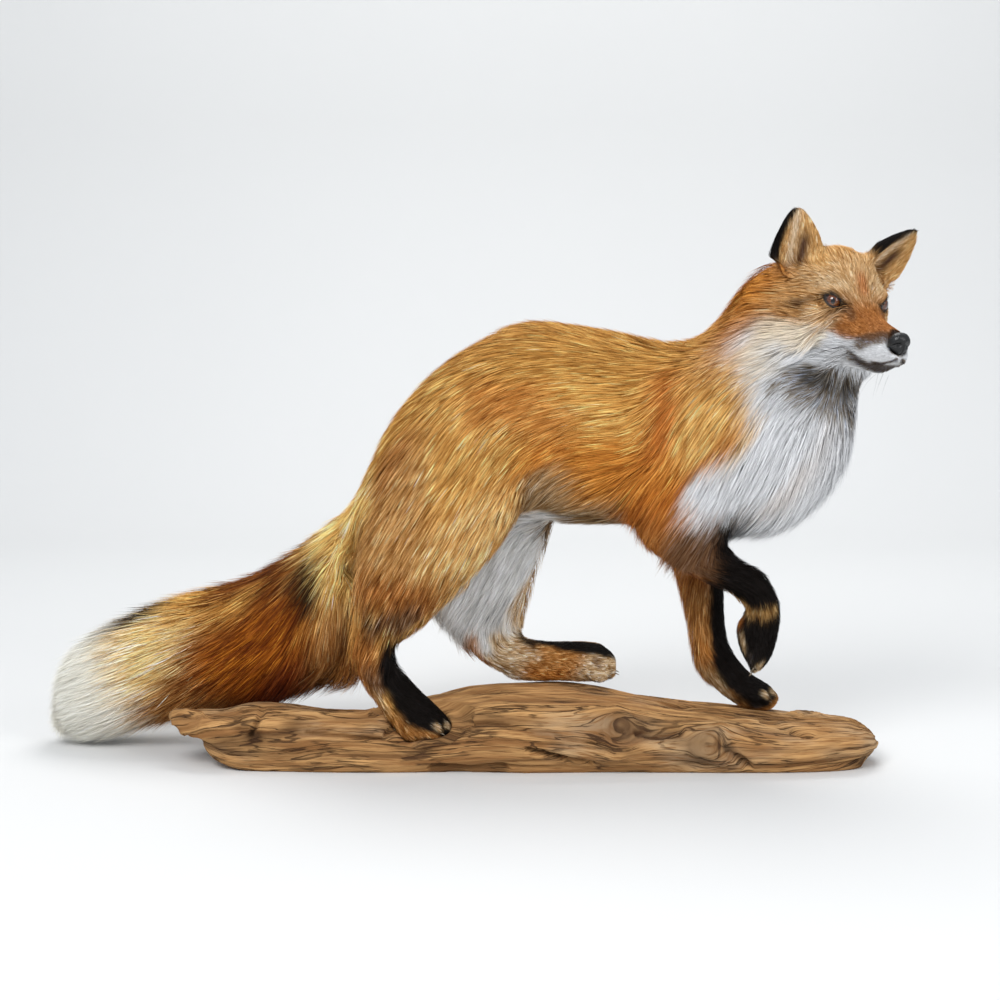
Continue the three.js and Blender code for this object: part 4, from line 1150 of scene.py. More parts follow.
# Roots are darker partly for the real darker underfur and partly as painted shade that the hairs cast on each
# other.
ROOT_TO_TIP = (0.42, 0.42, 0.90, 0.90, 1.12)  # a hair's brightness, at its two roots, its middle and its tip
TICKED = (0.7, 0.7, 0.8, 0.8, 0.15)  # and a hair's with a black tip
OWN_WAY, OWN_RISE = 0.45, 0.4  # how much of its heading and of its upward direction a hair keeps
LOW_TIP = 0.35  # the least share of the coat's depth that a tip stands
FLUFF = 0.25  # how much higher a thick coat's hair stands, and how much more its locks gather
GATHER = 0.35  # how far a tip is drawn to its lock's leader
LIFT_SOON, GATHER_LATE, WANDER_LATE = 1.8, 1.4, 1.5  # powers of the share of the way to a hair's tip
WIDTHS = (0.7, 1.3)
TWIST = 0.7  # radians either way that a blade may turn about itself
BLADE = (0.8, 1.0)  # a blade's width at its root and at its middle
STRAYS, LOCK_STRAYS = 0.15, 0.17  # how far the brightness of a hair and of its lock stray
TOP_CONTRAST = 1.8
PALE_SHARE, PALE = 0.09, 1.45  # how many hairs are paler than the rest, and how much
DARK_SHARE, DARK = 0.09, 0.42
TICKED_SHARE = 0.22
BRIGHTEST = 0.95
GUARD_SHARE, GUARD_LENGTH, GUARD_WIDTH = 0.12, 1.25, 0.65  # the longer, finer hairs among the rest
CUT_AT_EYES = 0.25  # what is left of a hair that would cross an open eye
SPILL = (-6, 14)  # how far the last hairs of the tail pass its end, in millimetres
OFF_FLOOR = 1.5 * MM
ROOTED = 0.4 * MM  # how deep a hair's root lies in the skin
PATCH = 0.003  # how wide a tuft is on the coat's map
MAP_MARGIN = 0.01
LOCK = 8  # strands drawn together into one lock
SLOTS = {"coat_tail_front": "tail_coat", "coat_tail_back": "tail_coat", "coat_forelegs": "dark_coat"}


def over_eyes(trail):
    """Whether each strand would lie across an open eye."""
    crosses = np.zeros(len(trail), bool)
    for side in (-1, 1):
        for share in (0.33, 0.67, 1.0):
            local = HEAD.local(trail[:, 0] + (trail[:, -1] - trail[:, 0]) * share)
            aim, radius, outside, *_ = eye_parts(local, side)
            crosses |= (radius < 16) & (outside < 1.0) & (aim @ eye_at(side)[1] > 0)
    return crosses


class Coat:
    """Strands rooted over the skin, each following its lie."""

    def __init__(self, mesh):
        self.places = places_of(mesh)
        self.normals = normals_of(mesh)
        self.triangles = triangles_of(mesh)
        self.lie = kept(mesh, "Lie", 3)
        self.size = kept(mesh, "Size", 3)
        self.colour = kept(mesh, "Coat", 4)
        self.hair = kept(mesh, "Hair")
        self.owner = kept(mesh, "Owner")
        a, b, c = (self.places[self.triangles[:, i]] for i in range(3))
        self.area = np.linalg.norm(np.cross(b - a, c - a), axis=1) / 2
        self.guide()

    def flow(self, normals):
        """The hair's direction at each vertex, laid flat."""
        return unit(self.lie - normals * (self.lie * normals).sum(1)[:, None])

    def guide(self):
        """For every vertex, the places, normals and colours that a hair rooted there passes over."""
        tree = tree_of(self.places)
        places, normals = self.places, self.normals
        heading = self.flow(normals)
        trail, rises, shades = [places], [normals], [self.colour]
        stride = self.size[:, :1] / SEGMENTS
        for _ in range(SEGMENTS):
            heading = unit(heading * OWN_WAY + self.flow(normals) * (1 - OWN_WAY))
            places = places + heading * stride
            under = nearest(tree, places)
            near_normal = self.normals[under]
            height = ((places - self.places[under]) * near_normal).sum(1)[:, None]
            gap = np.linalg.norm(places - self.places[under], axis=1)[:, None]
            pull = np.where(height > 0, 0.55 * (gap < 2 * stride), 1.0)
            places = places - near_normal * height * pull
            normals = unit(normals * OWN_RISE + near_normal * (1 - OWN_RISE))
            trail.append(places)
            rises.append(normals)
            shades.append(self.colour[under])
        self.trail, self.rises, self.shades = (np.stack(rows, axis=1) for rows in (trail, rises, shades))

    def roots(self, number, count, draw):
        """Strands' roots drawn over one piece's part of the skin, as what each takes from the skin there."""
        chosen = np.flatnonzero((self.owner[self.triangles] == number).sum(1) >= 2)
        corners = self.triangles[chosen]
        width = self.size[corners, 2].mean(1)
        length = self.size[corners, 0].mean(1)
        share = self.area[chosen] * self.hair[corners].mean(1) / (width * length)
        corners = corners[draw.choice(len(chosen), count, p=share / share.sum())]
        mix = draw.dirichlet((1, 1, 1), count)
        fields = (self.trail, self.rises, self.size, self.shades)
        return (np.einsum("ij,ij...->i...", mix, values[corners]) for values in fields)

    def grow(self, name, number, fullness, draw):
        """A mesh of strands over one piece's part of the skin."""
        count, contrast, lines = COATS[name]
        count = int(count * fullness)
        trail, rises, size, shades = self.roots(number, count, draw)
        rises = unit(rises)
        loose = step(size[:, 1], 13 * MM, 22 * MM)
        guard = draw.random(count) < GUARD_SHARE
        height = size[:, 1] * (LOW_TIP + (1 - LOW_TIP) * draw.random(count) ** 0.8) * (1 + FLUFF * loose)
        stretch = (0.75 + 0.4 * draw.random(count)) * np.where(guard, GUARD_LENGTH, 1)
        stretch = stretch * np.where(over_eyes(trail), CUT_AT_EYES, 1)
        size[:, 2] *= draw.uniform(*WIDTHS, count) * np.where(guard, GUARD_WIDTH, 1)
        steps = np.linspace(0, 1, SEGMENTS + 1)
        lift = 1 - (1 - steps) ** LIFT_SOON
        spine = trail[:, :1] + (trail - trail[:, :1]) * stretch[:, None, None]
        spine = spine + rises * (height[:, None] * lift)[:, :, None]
        spine[:, 0] -= rises[:, 0] * ROOTED
        leader, held = self.locks(spine, size, draw)
        pull = (GATHER + FLUFF * loose) * held
        spine = spine + (spine[leader] - spine) * (pull[:, None] * steps**GATHER_LATE)[:, :, None]
        wander = draw.normal(0, 1, (count, 3)) * (size[:, 0] * (0.02 + 0.05 * loose))[:, None]
        spine = spine + wander[:, None] * (steps**WANDER_LATE)[None, :, None]
        spill = draw.uniform(*SPILL, (count, 1)) * MM
        spine[:, :, 0] = np.maximum(spine[:, :, 0], CAD_BOX[0][0] - spill)
        spine[:, :, 2] = np.maximum(spine[:, :, 2], CAD_BOX[0][2] + OFF_FLOOR + np.abs(spill) * 0.3)
        mesh = self.strands(name, spine, rises, size, draw)
        keep(mesh, "Coat", "FLOAT_COLOR", self.tinted(shades, leader, contrast, draw))
        self.lay_out(mesh, trail[:, 0], lines)
        return mesh

    def locks(self, spine, size, draw):
        """The leader of each strand's lock, and how firmly the strand keeps to it."""
        count = len(spine)
        leaders = draw.choice(count, max(count // LOCK, 1), replace=False)
        own = leaders[nearest(tree_of(spine[leaders, 1]), spine[:, 1])]
        reach = np.linalg.norm(spine[own, 1] - spine[:, 1], axis=1)
        return own, 1 - step(reach, size[:, 0] * 0.25, size[:, 0] * 0.5)

    def strands(self, name, spine, rises, size, draw):
        """Flat blades along the spines, each of five vertices and three triangles."""
        count = len(spine)
        along_hair = unit(spine[:, 1:] - spine[:, :-1])
        side = unit(np.cross(along_hair, rises[:, 1:]))
        twist = draw.uniform(-TWIST, TWIST, count)[:, None, None]
        side = unit(side * np.cos(twist) - np.cross(along_hair, side) * np.sin(twist))
        half = size[:, 2:] / 2
        rows = []
        for k, share in enumerate(BLADE):
            rows += [spine[:, k] - side[:, k] * half * share, spine[:, k] + side[:, k] * half * share]
        rows.append(spine[:, SEGMENTS])
        pattern = np.array(((0, 1, 3), (0, 3, 2), (2, 3, 4)))
        faces = pattern[None] + (np.arange(count) * 5)[:, None, None]
        return mesh_from(name, np.stack(rows, axis=1).reshape(-1, 3), faces.reshape(-1, 3))

    def tinted(self, shades, leader, contrast, draw):
        """Five colours a strand, darker at the root, partly for the darker underfur and partly as painted
        shade, with pale, dark and ticked hairs among the rest.
        """
        count = len(shades)
        shift = draw.uniform(-0.5, 0.3, count)[:, None]
        at = np.clip(np.linspace(0.1, 0.9, 3) * SEGMENTS + shift, 0, SEGMENTS)
        first = np.minimum(at.astype(int), SEGMENTS - 1)
        part = (at - first)[:, :, None]
        hair = np.arange(count)[:, None]
        rows = shades[hair, first] * (1 - part) + shades[hair, first + 1] * part
        middle = rows[:, 1]
        coloured = 1 - step(middle.min(1), 0.3, 0.5)
        deep = 1 - step(middle[:, 0], 0.35, 0.55)
        stray = draw.normal(0, STRAYS, count) + draw.normal(0, LOCK_STRAYS, count)[leader]
        light = np.exp(min(contrast, TOP_CONTRAST) * stray)
        light = light ** (0.4 + 0.6 * coloured)
        light *= np.where(draw.random(count) < PALE_SHARE * coloured, PALE, 1)
        dark_share = (DARK_SHARE + 0.08 * (contrast - 1) * deep) * coloured
        light *= np.where(draw.random(count) < dark_share, DARK, 1)
        # Painted shade, with the real darker underfur: roots darker than tips, less so on white hair.
        shade = np.tile(np.array(ROOT_TO_TIP), (count, 1))
        shade += (1 - shade) * 0.5 * (1 - coloured[:, None])
        shade[draw.random(count) < TICKED_SHARE * (contrast - 1) * deep] = TICKED
        shine = (light[:, None] * shade)[:, :, None] ** (1 + coloured[:, None, None] * DEEPENS)
        colour = rows[:, (0, 0, 1, 1, 2)] * shine * (1 + coloured[:, None, None] * GAINS)
        return np.clip(colour, 0, BRIGHTEST).reshape(-1, 3)

    def lay_out(self, mesh, root, lines):
        """OFBake: the skin unrolled about each line, with each strand a small patch at its root."""
        lines = [sides(line, ONE)[0] for line in lines]
        island = np.argmin([along(root, line)[0] for line in lines], axis=0)
        spots = np.zeros((len(root), 2))
        for number, line in enumerate(lines):
            here = island == number
            spots[here] = unrolled(root[here], line)
            spots[here, 0] = (spots[here, 0] + number) / len(lines)
        spots = MAP_MARGIN + (1 - 2 * MAP_MARGIN) * spots
        across = np.array((-1, 1, -1, 1, 0)) * PATCH / 2
        up = np.array((-1, -1, 0, 0, 1)) * PATCH / 2
        places = spots[:, None] + np.stack((across, up), axis=1)[None]
        corners = read(mesh.loops, "vertex_index", 1, np.int32)
        layer = mesh.uv_layers.new(name="OFBake")
        layer.uv.foreach_set("vector", places.reshape(-1, 2)[corners].astype(np.float32).ravel())


def unrolled(points, line):
    """Each point's turn about a broken line and its reach along it, both from 0 to 1."""
    shares = np.linspace(0, 1, 25)
    knots = np.linspace(0, 1, len(line))
    stations = np.stack([np.interp(shares, knots, line[:, axis]) for axis in range(3)], axis=1)
    weight = 1 / (np.linalg.norm(points[:, None] - stations, axis=2) + 1 * MM) ** 4
    weight /= weight.sum(1)[:, None]
    arm = points - weight @ stations
    course = unit(weight @ np.gradient(stations, axis=0))
    first = unit(np.cross(course, (0.03, 1, 0.06)))
    second = np.cross(course, first)
    turn = np.arctan2((arm * second).sum(1), (arm * first).sum(1)) / (2 * math.pi) + 0.5
    reach = weight @ shares
    return np.stack((turn * 0.96 + 0.02, (reach - reach.min()) / max(np.ptp(reach), 1e-9)), axis=1)


def coat_material():
    shader = Shader("Guard hair", Roughness=0.6, Specular_IOR_Level=0.1)
    shader.set(Base_Color=shader.attribute("Coat"))
    return shader.material


def build_coat(settings):
    coat = Coat(bpy.data.objects["skin"].data)
    material = coat_material()
    for number, name in enumerate(PIECES):
        draw = np.random.default_rng(SEED + number)
        mesh = coat.grow(name, number, settings.fullness, draw)
        show(name, mesh, material, SLOTS.get(name, "red_coat"))


# ---- Eyes and nose ----------------------------------------------------------------------------------


def ball(rings, segments):
    """A closed unit ball with its poles on X: its places and its faces as triangles, always in one order."""
    form = bmesh.new()
    turn = Matrix.Rotation(math.pi / 2, 4, "Y")
    bmesh.ops.create_uvsphere(form, u_segments=segments, v_segments=rings, radius=1, matrix=turn)
    bmesh.ops.triangulate(form, faces=form.faces)
    mesh = bpy.data.meshes.new("ball")
    form.to_mesh(mesh)
    form.free()
    faces = triangles_of(mesh)
    lowest_first = (faces.argmin(1)[:, None] + np.arange(3)) % 3
    faces = np.take_along_axis(faces, lowest_first, axis=1)
    return places_of(mesh), faces[np.lexsort(faces.T[::-1])]


CORNEA = 0.07  # how far the front of the eye bulges, as a share of its radius


def build_eyes(settings):
    places, faces = ball(40, 64)
    angle = np.arccos(np.clip(places[:, 0], -1, 1))
    swell = 1 + CORNEA * (1 - step(angle, 0.35, 0.75))
    for side, name in ((1, "left"), (-1, "right")):
        centre, gaze = eye_at(side)
        aside = unit(np.cross((0, 0, 1), gaze))
        axes = np.array((gaze, aside, np.cross(gaze, aside)))
        local = centre + (places * swell[:, None] * settings.radius / MM) @ axes
        mesh = mesh_from(f"glass_eye_{name}", HEAD.place(local), faces)
        keep(mesh, "Round", "FLOAT_VECTOR", places)
        show(f"glass_eye_{name}", mesh, eye_material(settings), "eye_glass", (f"eye_{name}",))


def eye_material(settings):
    """Upright dark pupil, amber iris with fine spokes, and a dark ring round it."""
    shader = Shader("Eye glass", Roughness=0.04, Coat_Weight=1.0, Coat_Roughness=0.02)
    place = shader.attribute("Round", "Vector")
    parts = shader.add("ShaderNodeSeparateXYZ", {}, {0: place})
    across = Value(shader, parts.socket.node.outputs[1])
    above = Value(shader, parts.socket.node.outputs[2])
    ring = (across * across + above * above).sum("POWER", 0.5)
    slit = (across * across * 2.2 + above * above * 0.9).sum("POWER", 0.5)
    spokes = shader.add("ShaderNodeVectorMath", {"operation": "NORMALIZE"},
                        {0: shader.add("ShaderNodeCombineXYZ", {}, {0: 0.0, 1: across, 2: above})})
    grain = shader.noise(spokes, 9.0, 4)
    iris = shader.mix(grain.rise(0.35, 0.7), settings.iris_dark, settings.iris)
    iris = shader.mix(ring.rise(0.62, 0.76), iris, (0.010, 0.004, 0.002))
    colour = shader.mix(slit.rise(0.27, 0.34), (0.001, 0.001, 0.001), iris)
    shader.set(Base_Color=shader.mix(ring.rise(0.74, 0.82), colour, (0.012, 0.006, 0.004)))
    return shader.material


NOSE_RADII = (9.5, 11.6, 11.5)
NOSE_AT = (77.0, 0.0, -28.5)
NOSTRILS = ((0.80, 0.40, -0.02), (0.62, 0.74, -0.10), (0.35, 0.95, -0.24))
# Shares of the nose's radius.
NOSTRIL_DEPTH, GROOVE_DEPTH, CREST_DEPTH, NOSE_PEBBLES = 0.42, 0.12, 0.05, 0.012
NOSE_NARROWS, NOSE_OVERHANG = 0.30, 0.12
PEBBLES_A_METRE = 950.0


def build_nose(settings):
    places, faces = ball(64, 96)
    side = np.where(places[:, 1] < 0, -1.0, 1.0)
    mirrored = places.copy()
    mirrored[:, 1] *= side
    gap, share = along(mirrored, NOSTRILS)
    pit = np.exp(-((gap / (0.24 - 0.12 * share)) ** 2)) * (1 - 0.5 * share)
    groove = np.exp(-((places[:, 1] / 0.07) ** 2))
    groove = groove * step(-places[:, 2], -0.15, 0.2) * step(places[:, 0], 0.1, 0.4)
    crest = np.exp(-((places[:, 1] / 0.30) ** 2)) * step(places[:, 2], 0.3, 0.9)
    pebbles = noise(places, 16, 3) * NOSE_PEBBLES
    reach = 1 - NOSTRIL_DEPTH * pit - GROOVE_DEPTH * groove - CREST_DEPTH * crest + pebbles
    shaped = places * reach[:, None]
    shaped[:, 1] *= 1 - NOSE_NARROWS * step(-places[:, 2], 0.1, 1.0)
    shaped[:, 0] += NOSE_OVERHANG * step(places[:, 2], 0.0, 0.9)
    mesh = mesh_from("nose_pad", HEAD.place(shaped * NOSE_RADII + NOSE_AT), faces)
    show("nose_pad", mesh, nose_material(settings), "nose_leather", ("nose",))


def nose_material(settings):
    shader = Shader("Nose leather", Specular_IOR_Level=0.3, Coat_Weight=0.35, Coat_Roughness=0.10)
    kind = {"feature": "DISTANCE_TO_EDGE"}
    cells = shader.add("ShaderNodeTexVoronoi", kind, {"Vector": shader.place(), "Scale": PEBBLES_A_METRE})
    height = cells.rise(0.0, 0.35)
    # Painted shade: the crevices between the pebbles are darker than their tops.
    shader.set(Base_Color=shader.mix(height, (0.002, 0.002, 0.002), settings.leather))
    shader.set(Roughness=0.50 - height * 0.14, Normal=shader.bump(height, 0.35, 0.0004))
    return shader.material


# ---- Claws and whiskers: thorns along curves --------------------------------------------------------


TAPER = 0.97  # how much of its thickness a thorn loses by its tip


def thorn_tree(name):
    """A node tree that grows a tapered thorn from every point, along its Aim and bent away from its Rise."""
    group = bpy.data.node_groups.new(name, "GeometryNodeTree")
    face = group.interface
    face.new_socket("Points", in_out="INPUT", socket_type="NodeSocketGeometry")
    for label, kind in (("Length", "Float"), ("Radius", "Float"), ("Bend", "Float"), ("Rings", "Int"),
                        ("Sides", "Int"), ("Finish", "Material")):
        face.new_socket(label, in_out="INPUT", socket_type=f"NodeSocket{kind}")
    face.new_socket("Mesh", in_out="OUTPUT", socket_type="NodeSocketGeometry")
    tree = Tree(group)
    given = group.nodes.new("NodeGroupInput")
    points, length, radius, bend, rings, sides, finish = (Value(tree, s) for s in given.outputs[:7])
    middle = tree.add("ShaderNodeCombineXYZ", {}, {0: length * 0.5})
    end = tree.add("ShaderNodeCombineXYZ", {}, {0: length * (1 - bend * bend * 0.5), 2: length * bend * -1})
    path = tree.add("GeometryNodeCurveQuadraticBezier", {},
                    {"Resolution": rings, "Start": (0, 0, 0), "Middle": middle, "End": end})
    share = tree.add("GeometryNodeSplineParameter")
    thick = 1 - share * share * TAPER
    outline = tree.add("GeometryNodeCurvePrimitiveCircle", {}, {"Resolution": sides, "Radius": radius})
    thorn = tree.add("GeometryNodeCurveToMesh", {}, {
        "Curve": path, "Profile Curve": outline, "Scale": thick, "Fill Caps": True})
    aim, up, size = (
        tree.add("GeometryNodeInputNamedAttribute", {"data_type": kind}, {"Name": label})
        for label, kind in (("Aim", "FLOAT_VECTOR"), ("Rise", "FLOAT_VECTOR"), ("Scale", "FLOAT"))
    )
    turn = tree.add("FunctionNodeAlignRotationToVector", {"axis": "X"}, {"Vector": aim})
    turn = tree.add("FunctionNodeAlignRotationToVector", {"axis": "Z", "pivot_axis": "X"},
                    {"Rotation": turn, "Vector": up})
    grown = tree.add("GeometryNodeInstanceOnPoints", {},
                     {"Points": points, "Instance": thorn, "Rotation": turn, "Scale": size})
    grown = tree.add("GeometryNodeRealizeInstances", {}, {"Geometry": grown})
    grown = tree.add("GeometryNodeSetMaterial", {}, {"Geometry": grown, "Material": finish})
    leave = group.nodes.new("NodeGroupOutput")
    group.links.new(grown.socket, leave.inputs[0])
    return group


def thorns(name, places, aims, rises, scales, material, **sizes):
    """A piece of thorns, one from each place."""
    carrier = bpy.data.meshes.new(name + "_roots")
    carrier.vertices.add(len(places))
    move(carrier, np.array(places))
    keep(carrier, "Aim", "FLOAT_VECTOR", unit(aims))
    keep(carrier, "Rise", "FLOAT_VECTOR", unit(rises))
    keep(carrier, "Scale", "FLOAT", np.array(scales))
    roots = placed(name + "_roots", carrier)
    modifier = roots.modifiers.new("Thorns", "NODES")
    modifier.node_group = thorn_tree(name)
    sizes["Finish"] = material
    for item in modifier.node_group.interface.items_tree:
        if item.in_out == "INPUT" and item.name in sizes:
            modifier[item.identifier] = sizes[item.name]
    mesh = applied(roots)
    bpy.data.objects.remove(roots)
    show(name, mesh, material)


CLAW_ROOT, CLAW_DROP = 0.95, 1.0  # where a claw starts: a share of the toe's radius, and millimetres
CLAW_THICKNESS = 0.13  # its radius as a share of its length


def build_claws(settings):
    places, aims, rises = [], [], []
    for centre, ahead, aside in toes():
        up = np.cross(ahead, aside)
        places.append(centre + (ahead * TOE * CLAW_ROOT - up * CLAW_DROP) * MM)
        aims.append(ahead * 0.9 + up * 0.1)
        rises.append(up)
    shader = Shader("Claw horn", Roughness=0.35)
    grain = shader.noise(shader.place(), 500, 3)
    shader.set(Base_Color=shader.mix(grain, (0.05, 0.035, 0.025), settings.horn))
    sizes = {"Length": settings.length, "Radius": settings.length * CLAW_THICKNESS, "Bend": 0.42}
    thorns("claws", places, aims, rises, [1.0] * len(places), shader.material, Rings=8, Sides=10, **sizes)


# In head millimetres: where each row of whiskers starts and how far on the next one stands, then for the
# hairs over the eye a place, an aim and a share of the longest whisker's length.
WHISKER_ROWS = ((62, 14.5, -33), (60, 15.5, -37), (57, 16.5, -41), (52, 17.5, -44))
WHISKER_STEP = np.array((-6.5, 1.1, 0.9))
BROW_WHISKERS = (((-2, 27, 19), (-0.3, 0.6, 0.7), 0.38), ((3, 24, 18), (-0.1, 0.5, 0.8), 0.3))
WHISKER_RADIUS = 0.21 * MM


def build_whiskers(settings):
    draw = np.random.default_rng(SEED)
    grown = []
    for row, start in enumerate(WHISKER_ROWS):
        for column in range(4):
            aim = np.array((-0.9, 0.5, 0.10 - 0.12 * row)) + draw.normal(0, 0.10, 3)
            scale = 0.6 + 0.1 * column + 0.1 * draw.random()
            grown.append((start + WHISKER_STEP * column, aim, scale))
    for chin in range(3):
        aim = np.array((-0.5, 0.25, -0.8)) + draw.normal(0, 0.12, 3)
        grown.append((np.array((58 - 9 * chin, 8, -64)), aim, 0.35 + 0.1 * draw.random()))
    grown += [(np.array(place), np.array(aim), scale) for place, aim, scale in BROW_WHISKERS]
    sides_of_face = ((1, -1, 1), (1, 1, 1))
    both = [(place * side, aim * side, scale) for side in sides_of_face for place, aim, scale in grown]
    places, aims, scales = zip(*both)
    shader = Shader("Whisker", Roughness=0.4)
    tint = shader.noise(shader.place(), 300, 2)
    shader.set(Base_Color=shader.mix(tint.rise(0.4, 0.7), settings.whisker, (0.03, 0.02, 0.015)))
    sizes = {"Length": settings.reach, "Radius": WHISKER_RADIUS, "Bend": 0.3, "Rings": 10, "Sides": 5}
    rises = HEAD.turn([(0.1, 0, 1)] * len(places))
    thorns("whiskers", HEAD.place(places), HEAD.turn(aims), rises, scales, shader.material, **sizes)


# ---- Driftwood --------------------------------------------------------------------------------------

# Knots: a place in the log's box and a radius. Hollows: a line seen from the front, as shares of the
# box's length and height, then a radius and a depth. All sizes are millimetres.
KNOTS = (
    (0.63, 0.0, 0.72, 17), (0.75, 0.0, 0.45, 14), (0.03, 0.2, 0.85, 14),
    (0.30, 0.3, 0.9, 10), (0.9, 0.6, 0.6, 13),
)
HOLLOWS = (
    (((0.100, 0.72), (0.125, 0.45)), 17, 7),
    (((0.145, 0.95), (0.130, 0.70), (0.120, 0.45)), 4.5, 8),
    (((0.505, 0.36), (0.545, 0.25), (0.590, 0.12)), 5, 11),
    (((0.374, 0.03), (0.470, 0.03)), 8, 10),
    (((0.775, 0.46), (0.785, 0.30), (0.805, 0.12)), 8, 10),
    (((0.655, 0.60), (0.680, 0.56), (0.715, 0.62)), 6, 7),
    (((0.20, 0.60), (0.27, 0.50), (0.36, 0.58)), 3.5, 4),
    (((0.83, 0.62), (0.90, 0.50), (0.97, 0.50)), 3, 4),
    (((0.42, 0.75), (0.52, 0.62), (0.60, 0.45)), 3.5, 5),
)
# Furrows along the grain: how fine they are along it and across it, a seed and a width; then, in
# millimetres, how deep each kind is and how far the broad ridges stand out.
DEEP = ((5, 40, 40), 4, 0.13)
MEDIUM = ((8, 95, 95), 7, 0.16)
FINE = ((11, 190, 190), 9, 0.25)
DEEP_CUT, MEDIUM_CUT, FINE_CUT, SWELL = 4.5, 2.6, 1.3, 4.5
ROUND = 0.05  # metres: turns about the log are measured along a circle of this radius
WOOD_GRAIN = 2.0 * MM  # the driftwood's own fineness


def turned(angle, reach):
    """Places on a circle about the log, at each angle and each reach along the log."""
    return np.stack((reach, ROUND * np.cos(angle), ROUND * np.sin(angle)), axis=1)


def knotted(places, turn, low, high, turn_of):
    """The depth of the knots' rings, how far each place lies in a knot, and the turn bent round them."""
    knots, inside = np.zeros(len(places)), np.zeros(len(places))
    bent = turn.copy()
    ragged = layered(places, 45, 31, 2)
    for *share, size in KNOTS:
        centre = low + (high - low) * share
        ahead = places[:, 0] - centre[0]
        off = turn - turn_of(centre)
        aside = off * ROUND
        gap = np.hypot(ahead * 0.8, aside) / (size * MM) * (1 + 0.6 * ragged)
        bent -= off / (1 + 0.6 * (ahead / size / MM) ** 2 + (aside / size / MM) ** 2)
        knots += -3.0 * np.exp(-(((gap - 0.95) / 0.30) ** 2)) + 5.0 * np.exp(-((gap / 0.30) ** 2))
        knots += 0.7 * np.sin(gap * 19) * (1 - step(gap, 0.9, 1.3))
        inside = np.maximum(inside, 1 - step(gap, 0.7, 1.2))
    return knots, inside, bent


def hollowed(depth, places, normals, low, high):
    """The depth with the front's hollows added to it, and how hollow each place is, from 0 to 1."""
    hollows = np.zeros(len(places))
    front = step(-normals[:, 1], -0.1, 0.3)
    wobble = np.stack((noise(places, 60, 21), noise(places, 60, 22)), axis=1)
    seen = places[:, ::2] + 2.5 * MM * wobble
    for line, size, down in HOLLOWS:
        gap, _ = along(seen, low[::2] + (high - low)[::2] * line)
        cut = front * (1 - step(gap, size * 0.2 * MM, size * MM))
        depth = depth + cut * down
        hollows = np.maximum(hollows, cut * min(down / 8, 1))
    return depth, hollows


def build_driftwood(settings):
    mesh = fused(merged(("log_base",)), WOOD_GRAIN)
    places = places_of(mesh)
    flat = step(places[:, 2], 0.5 * MM, 5 * MM)
    places = blend(places, evened(places, edges_of(mesh), 12, SMOOTH), flat)
    move(mesh, places)
    normals = normals_of(mesh)
    low, high = box_of("log_base")

    def turn_of(points):
        return np.arctan2(points[..., 2] - high[2] * 0.3, (low[1] + high[1]) / 2 - points[..., 1])

    def furrow(scale, seed, width):
        return np.exp(-((noise(grain, scale, seed) / width) ** 2))

    turn = turn_of(places)
    knots, inside, bent = knotted(places, turn, low, high, turn_of)
    plain = turned(turn, places[:, 0])
    bent += 0.30 * noise(plain, (4, 9, 9), 3) + 0.10 * noise(plain, (13, 22, 22), 5)
    grain = turned(bent, places[:, 0])
    worn = step(noise(places, 11, 12), -0.55, 0.15)
    deep = furrow(*DEEP) * worn
    medium = furrow(*MEDIUM)
    ridges = layered(grain, (7, 20, 20), 15, 2)
    depth = DEEP_CUT * deep + MEDIUM_CUT * medium + FINE_CUT * furrow(*FINE) - SWELL * ridges
    depth = depth * (1 - 0.5 * inside) + knots
    depth, hollows = hollowed(depth, places, normals, low, high)
    depth = depth * step(from_toes(places), 12 * MM, 26 * MM) * step(places[:, 2], 1.0 * MM, 7 * MM)
    move(mesh, places - normals * depth[:, None] * MM)
    # Painted shade: the deep and medium furrows and the front's hollows are darkened in colour.
    keep(mesh, "Groove", "FLOAT", np.clip(0.55 * deep**3 + 0.30 * medium**3 + 0.50 * hollows**2, 0, 1))
    keep(mesh, "Grain", "FLOAT_VECTOR", grain)
    show("driftwood", mesh, driftwood_material(settings), "driftwood", ("log_base",))


# Cracks along the grain: how fine they are along it and across it, and their width.
CRACKS = (((6, 75, 75), 0.016), ((9, 170, 170), 0.022), ((14, 320, 320), 0.035))


def driftwood_material(settings):
    """Weathered wood: streaks along the grain, grey where it is worn, and painted shade that darkens its
    grooves and hollows.
    """
    shader = Shader("Driftwood", Roughness=0.85, Specular_IOR_Level=0.2)
    grain = shader.attribute("Grain", "Vector")

    def streaked(scale, detail, distortion=0.0):
        place = shader.add("ShaderNodeMapping", {}, {"Vector": grain, "Scale": scale})
        return shader.noise(place, 1.0, detail, distortion)

    streaks = streaked((9, 150, 150), 5, 0.5)
    fine = streaked((40, 900, 900), 4, 0.3)
    worn = shader.noise(shader.place((7, 16, 16)), 1.0, 3)
    colour = shader.mix(streaks.rise(0.34, 0.64), settings.heart, settings.wood)
    colour = shader.mix(worn.rise(0.52, 0.72) * 0.5, colour, settings.grey)
    colour = shader.mix(fine.rise(0.30, 0.52), settings.heart, colour)
    split = 0.0
    for (ahead, aside, up), width in CRACKS:
        line = (streaked((ahead, aside, up), 3, 0.4) - 0.5).sum("ABSOLUTE").rise(0.003, width)
        patchy = streaked((ahead, aside / 6, up / 6), 2).rise(0.42, 0.60)
        split = (1 - line) * patchy * 0.8 + split
    split = split.rise(0, 1)
    # Painted shade in the furrows and hollows, in the crack colour.
    groove = shader.attribute("Groove", "Fac")
    colour = shader.mix(split * 0.85, colour, settings.crack_and_groove_shade)
    shader.set(Base_Color=shader.mix(groove * 0.9, colour, settings.crack_and_groove_shade))
    shader.set(Normal=shader.bump(fine + streaks * 1.5 - split * 1.5, 0.9, 0.0015))
    return shader.material


# ---- Stage ------------------------------------------------------------------------------------------


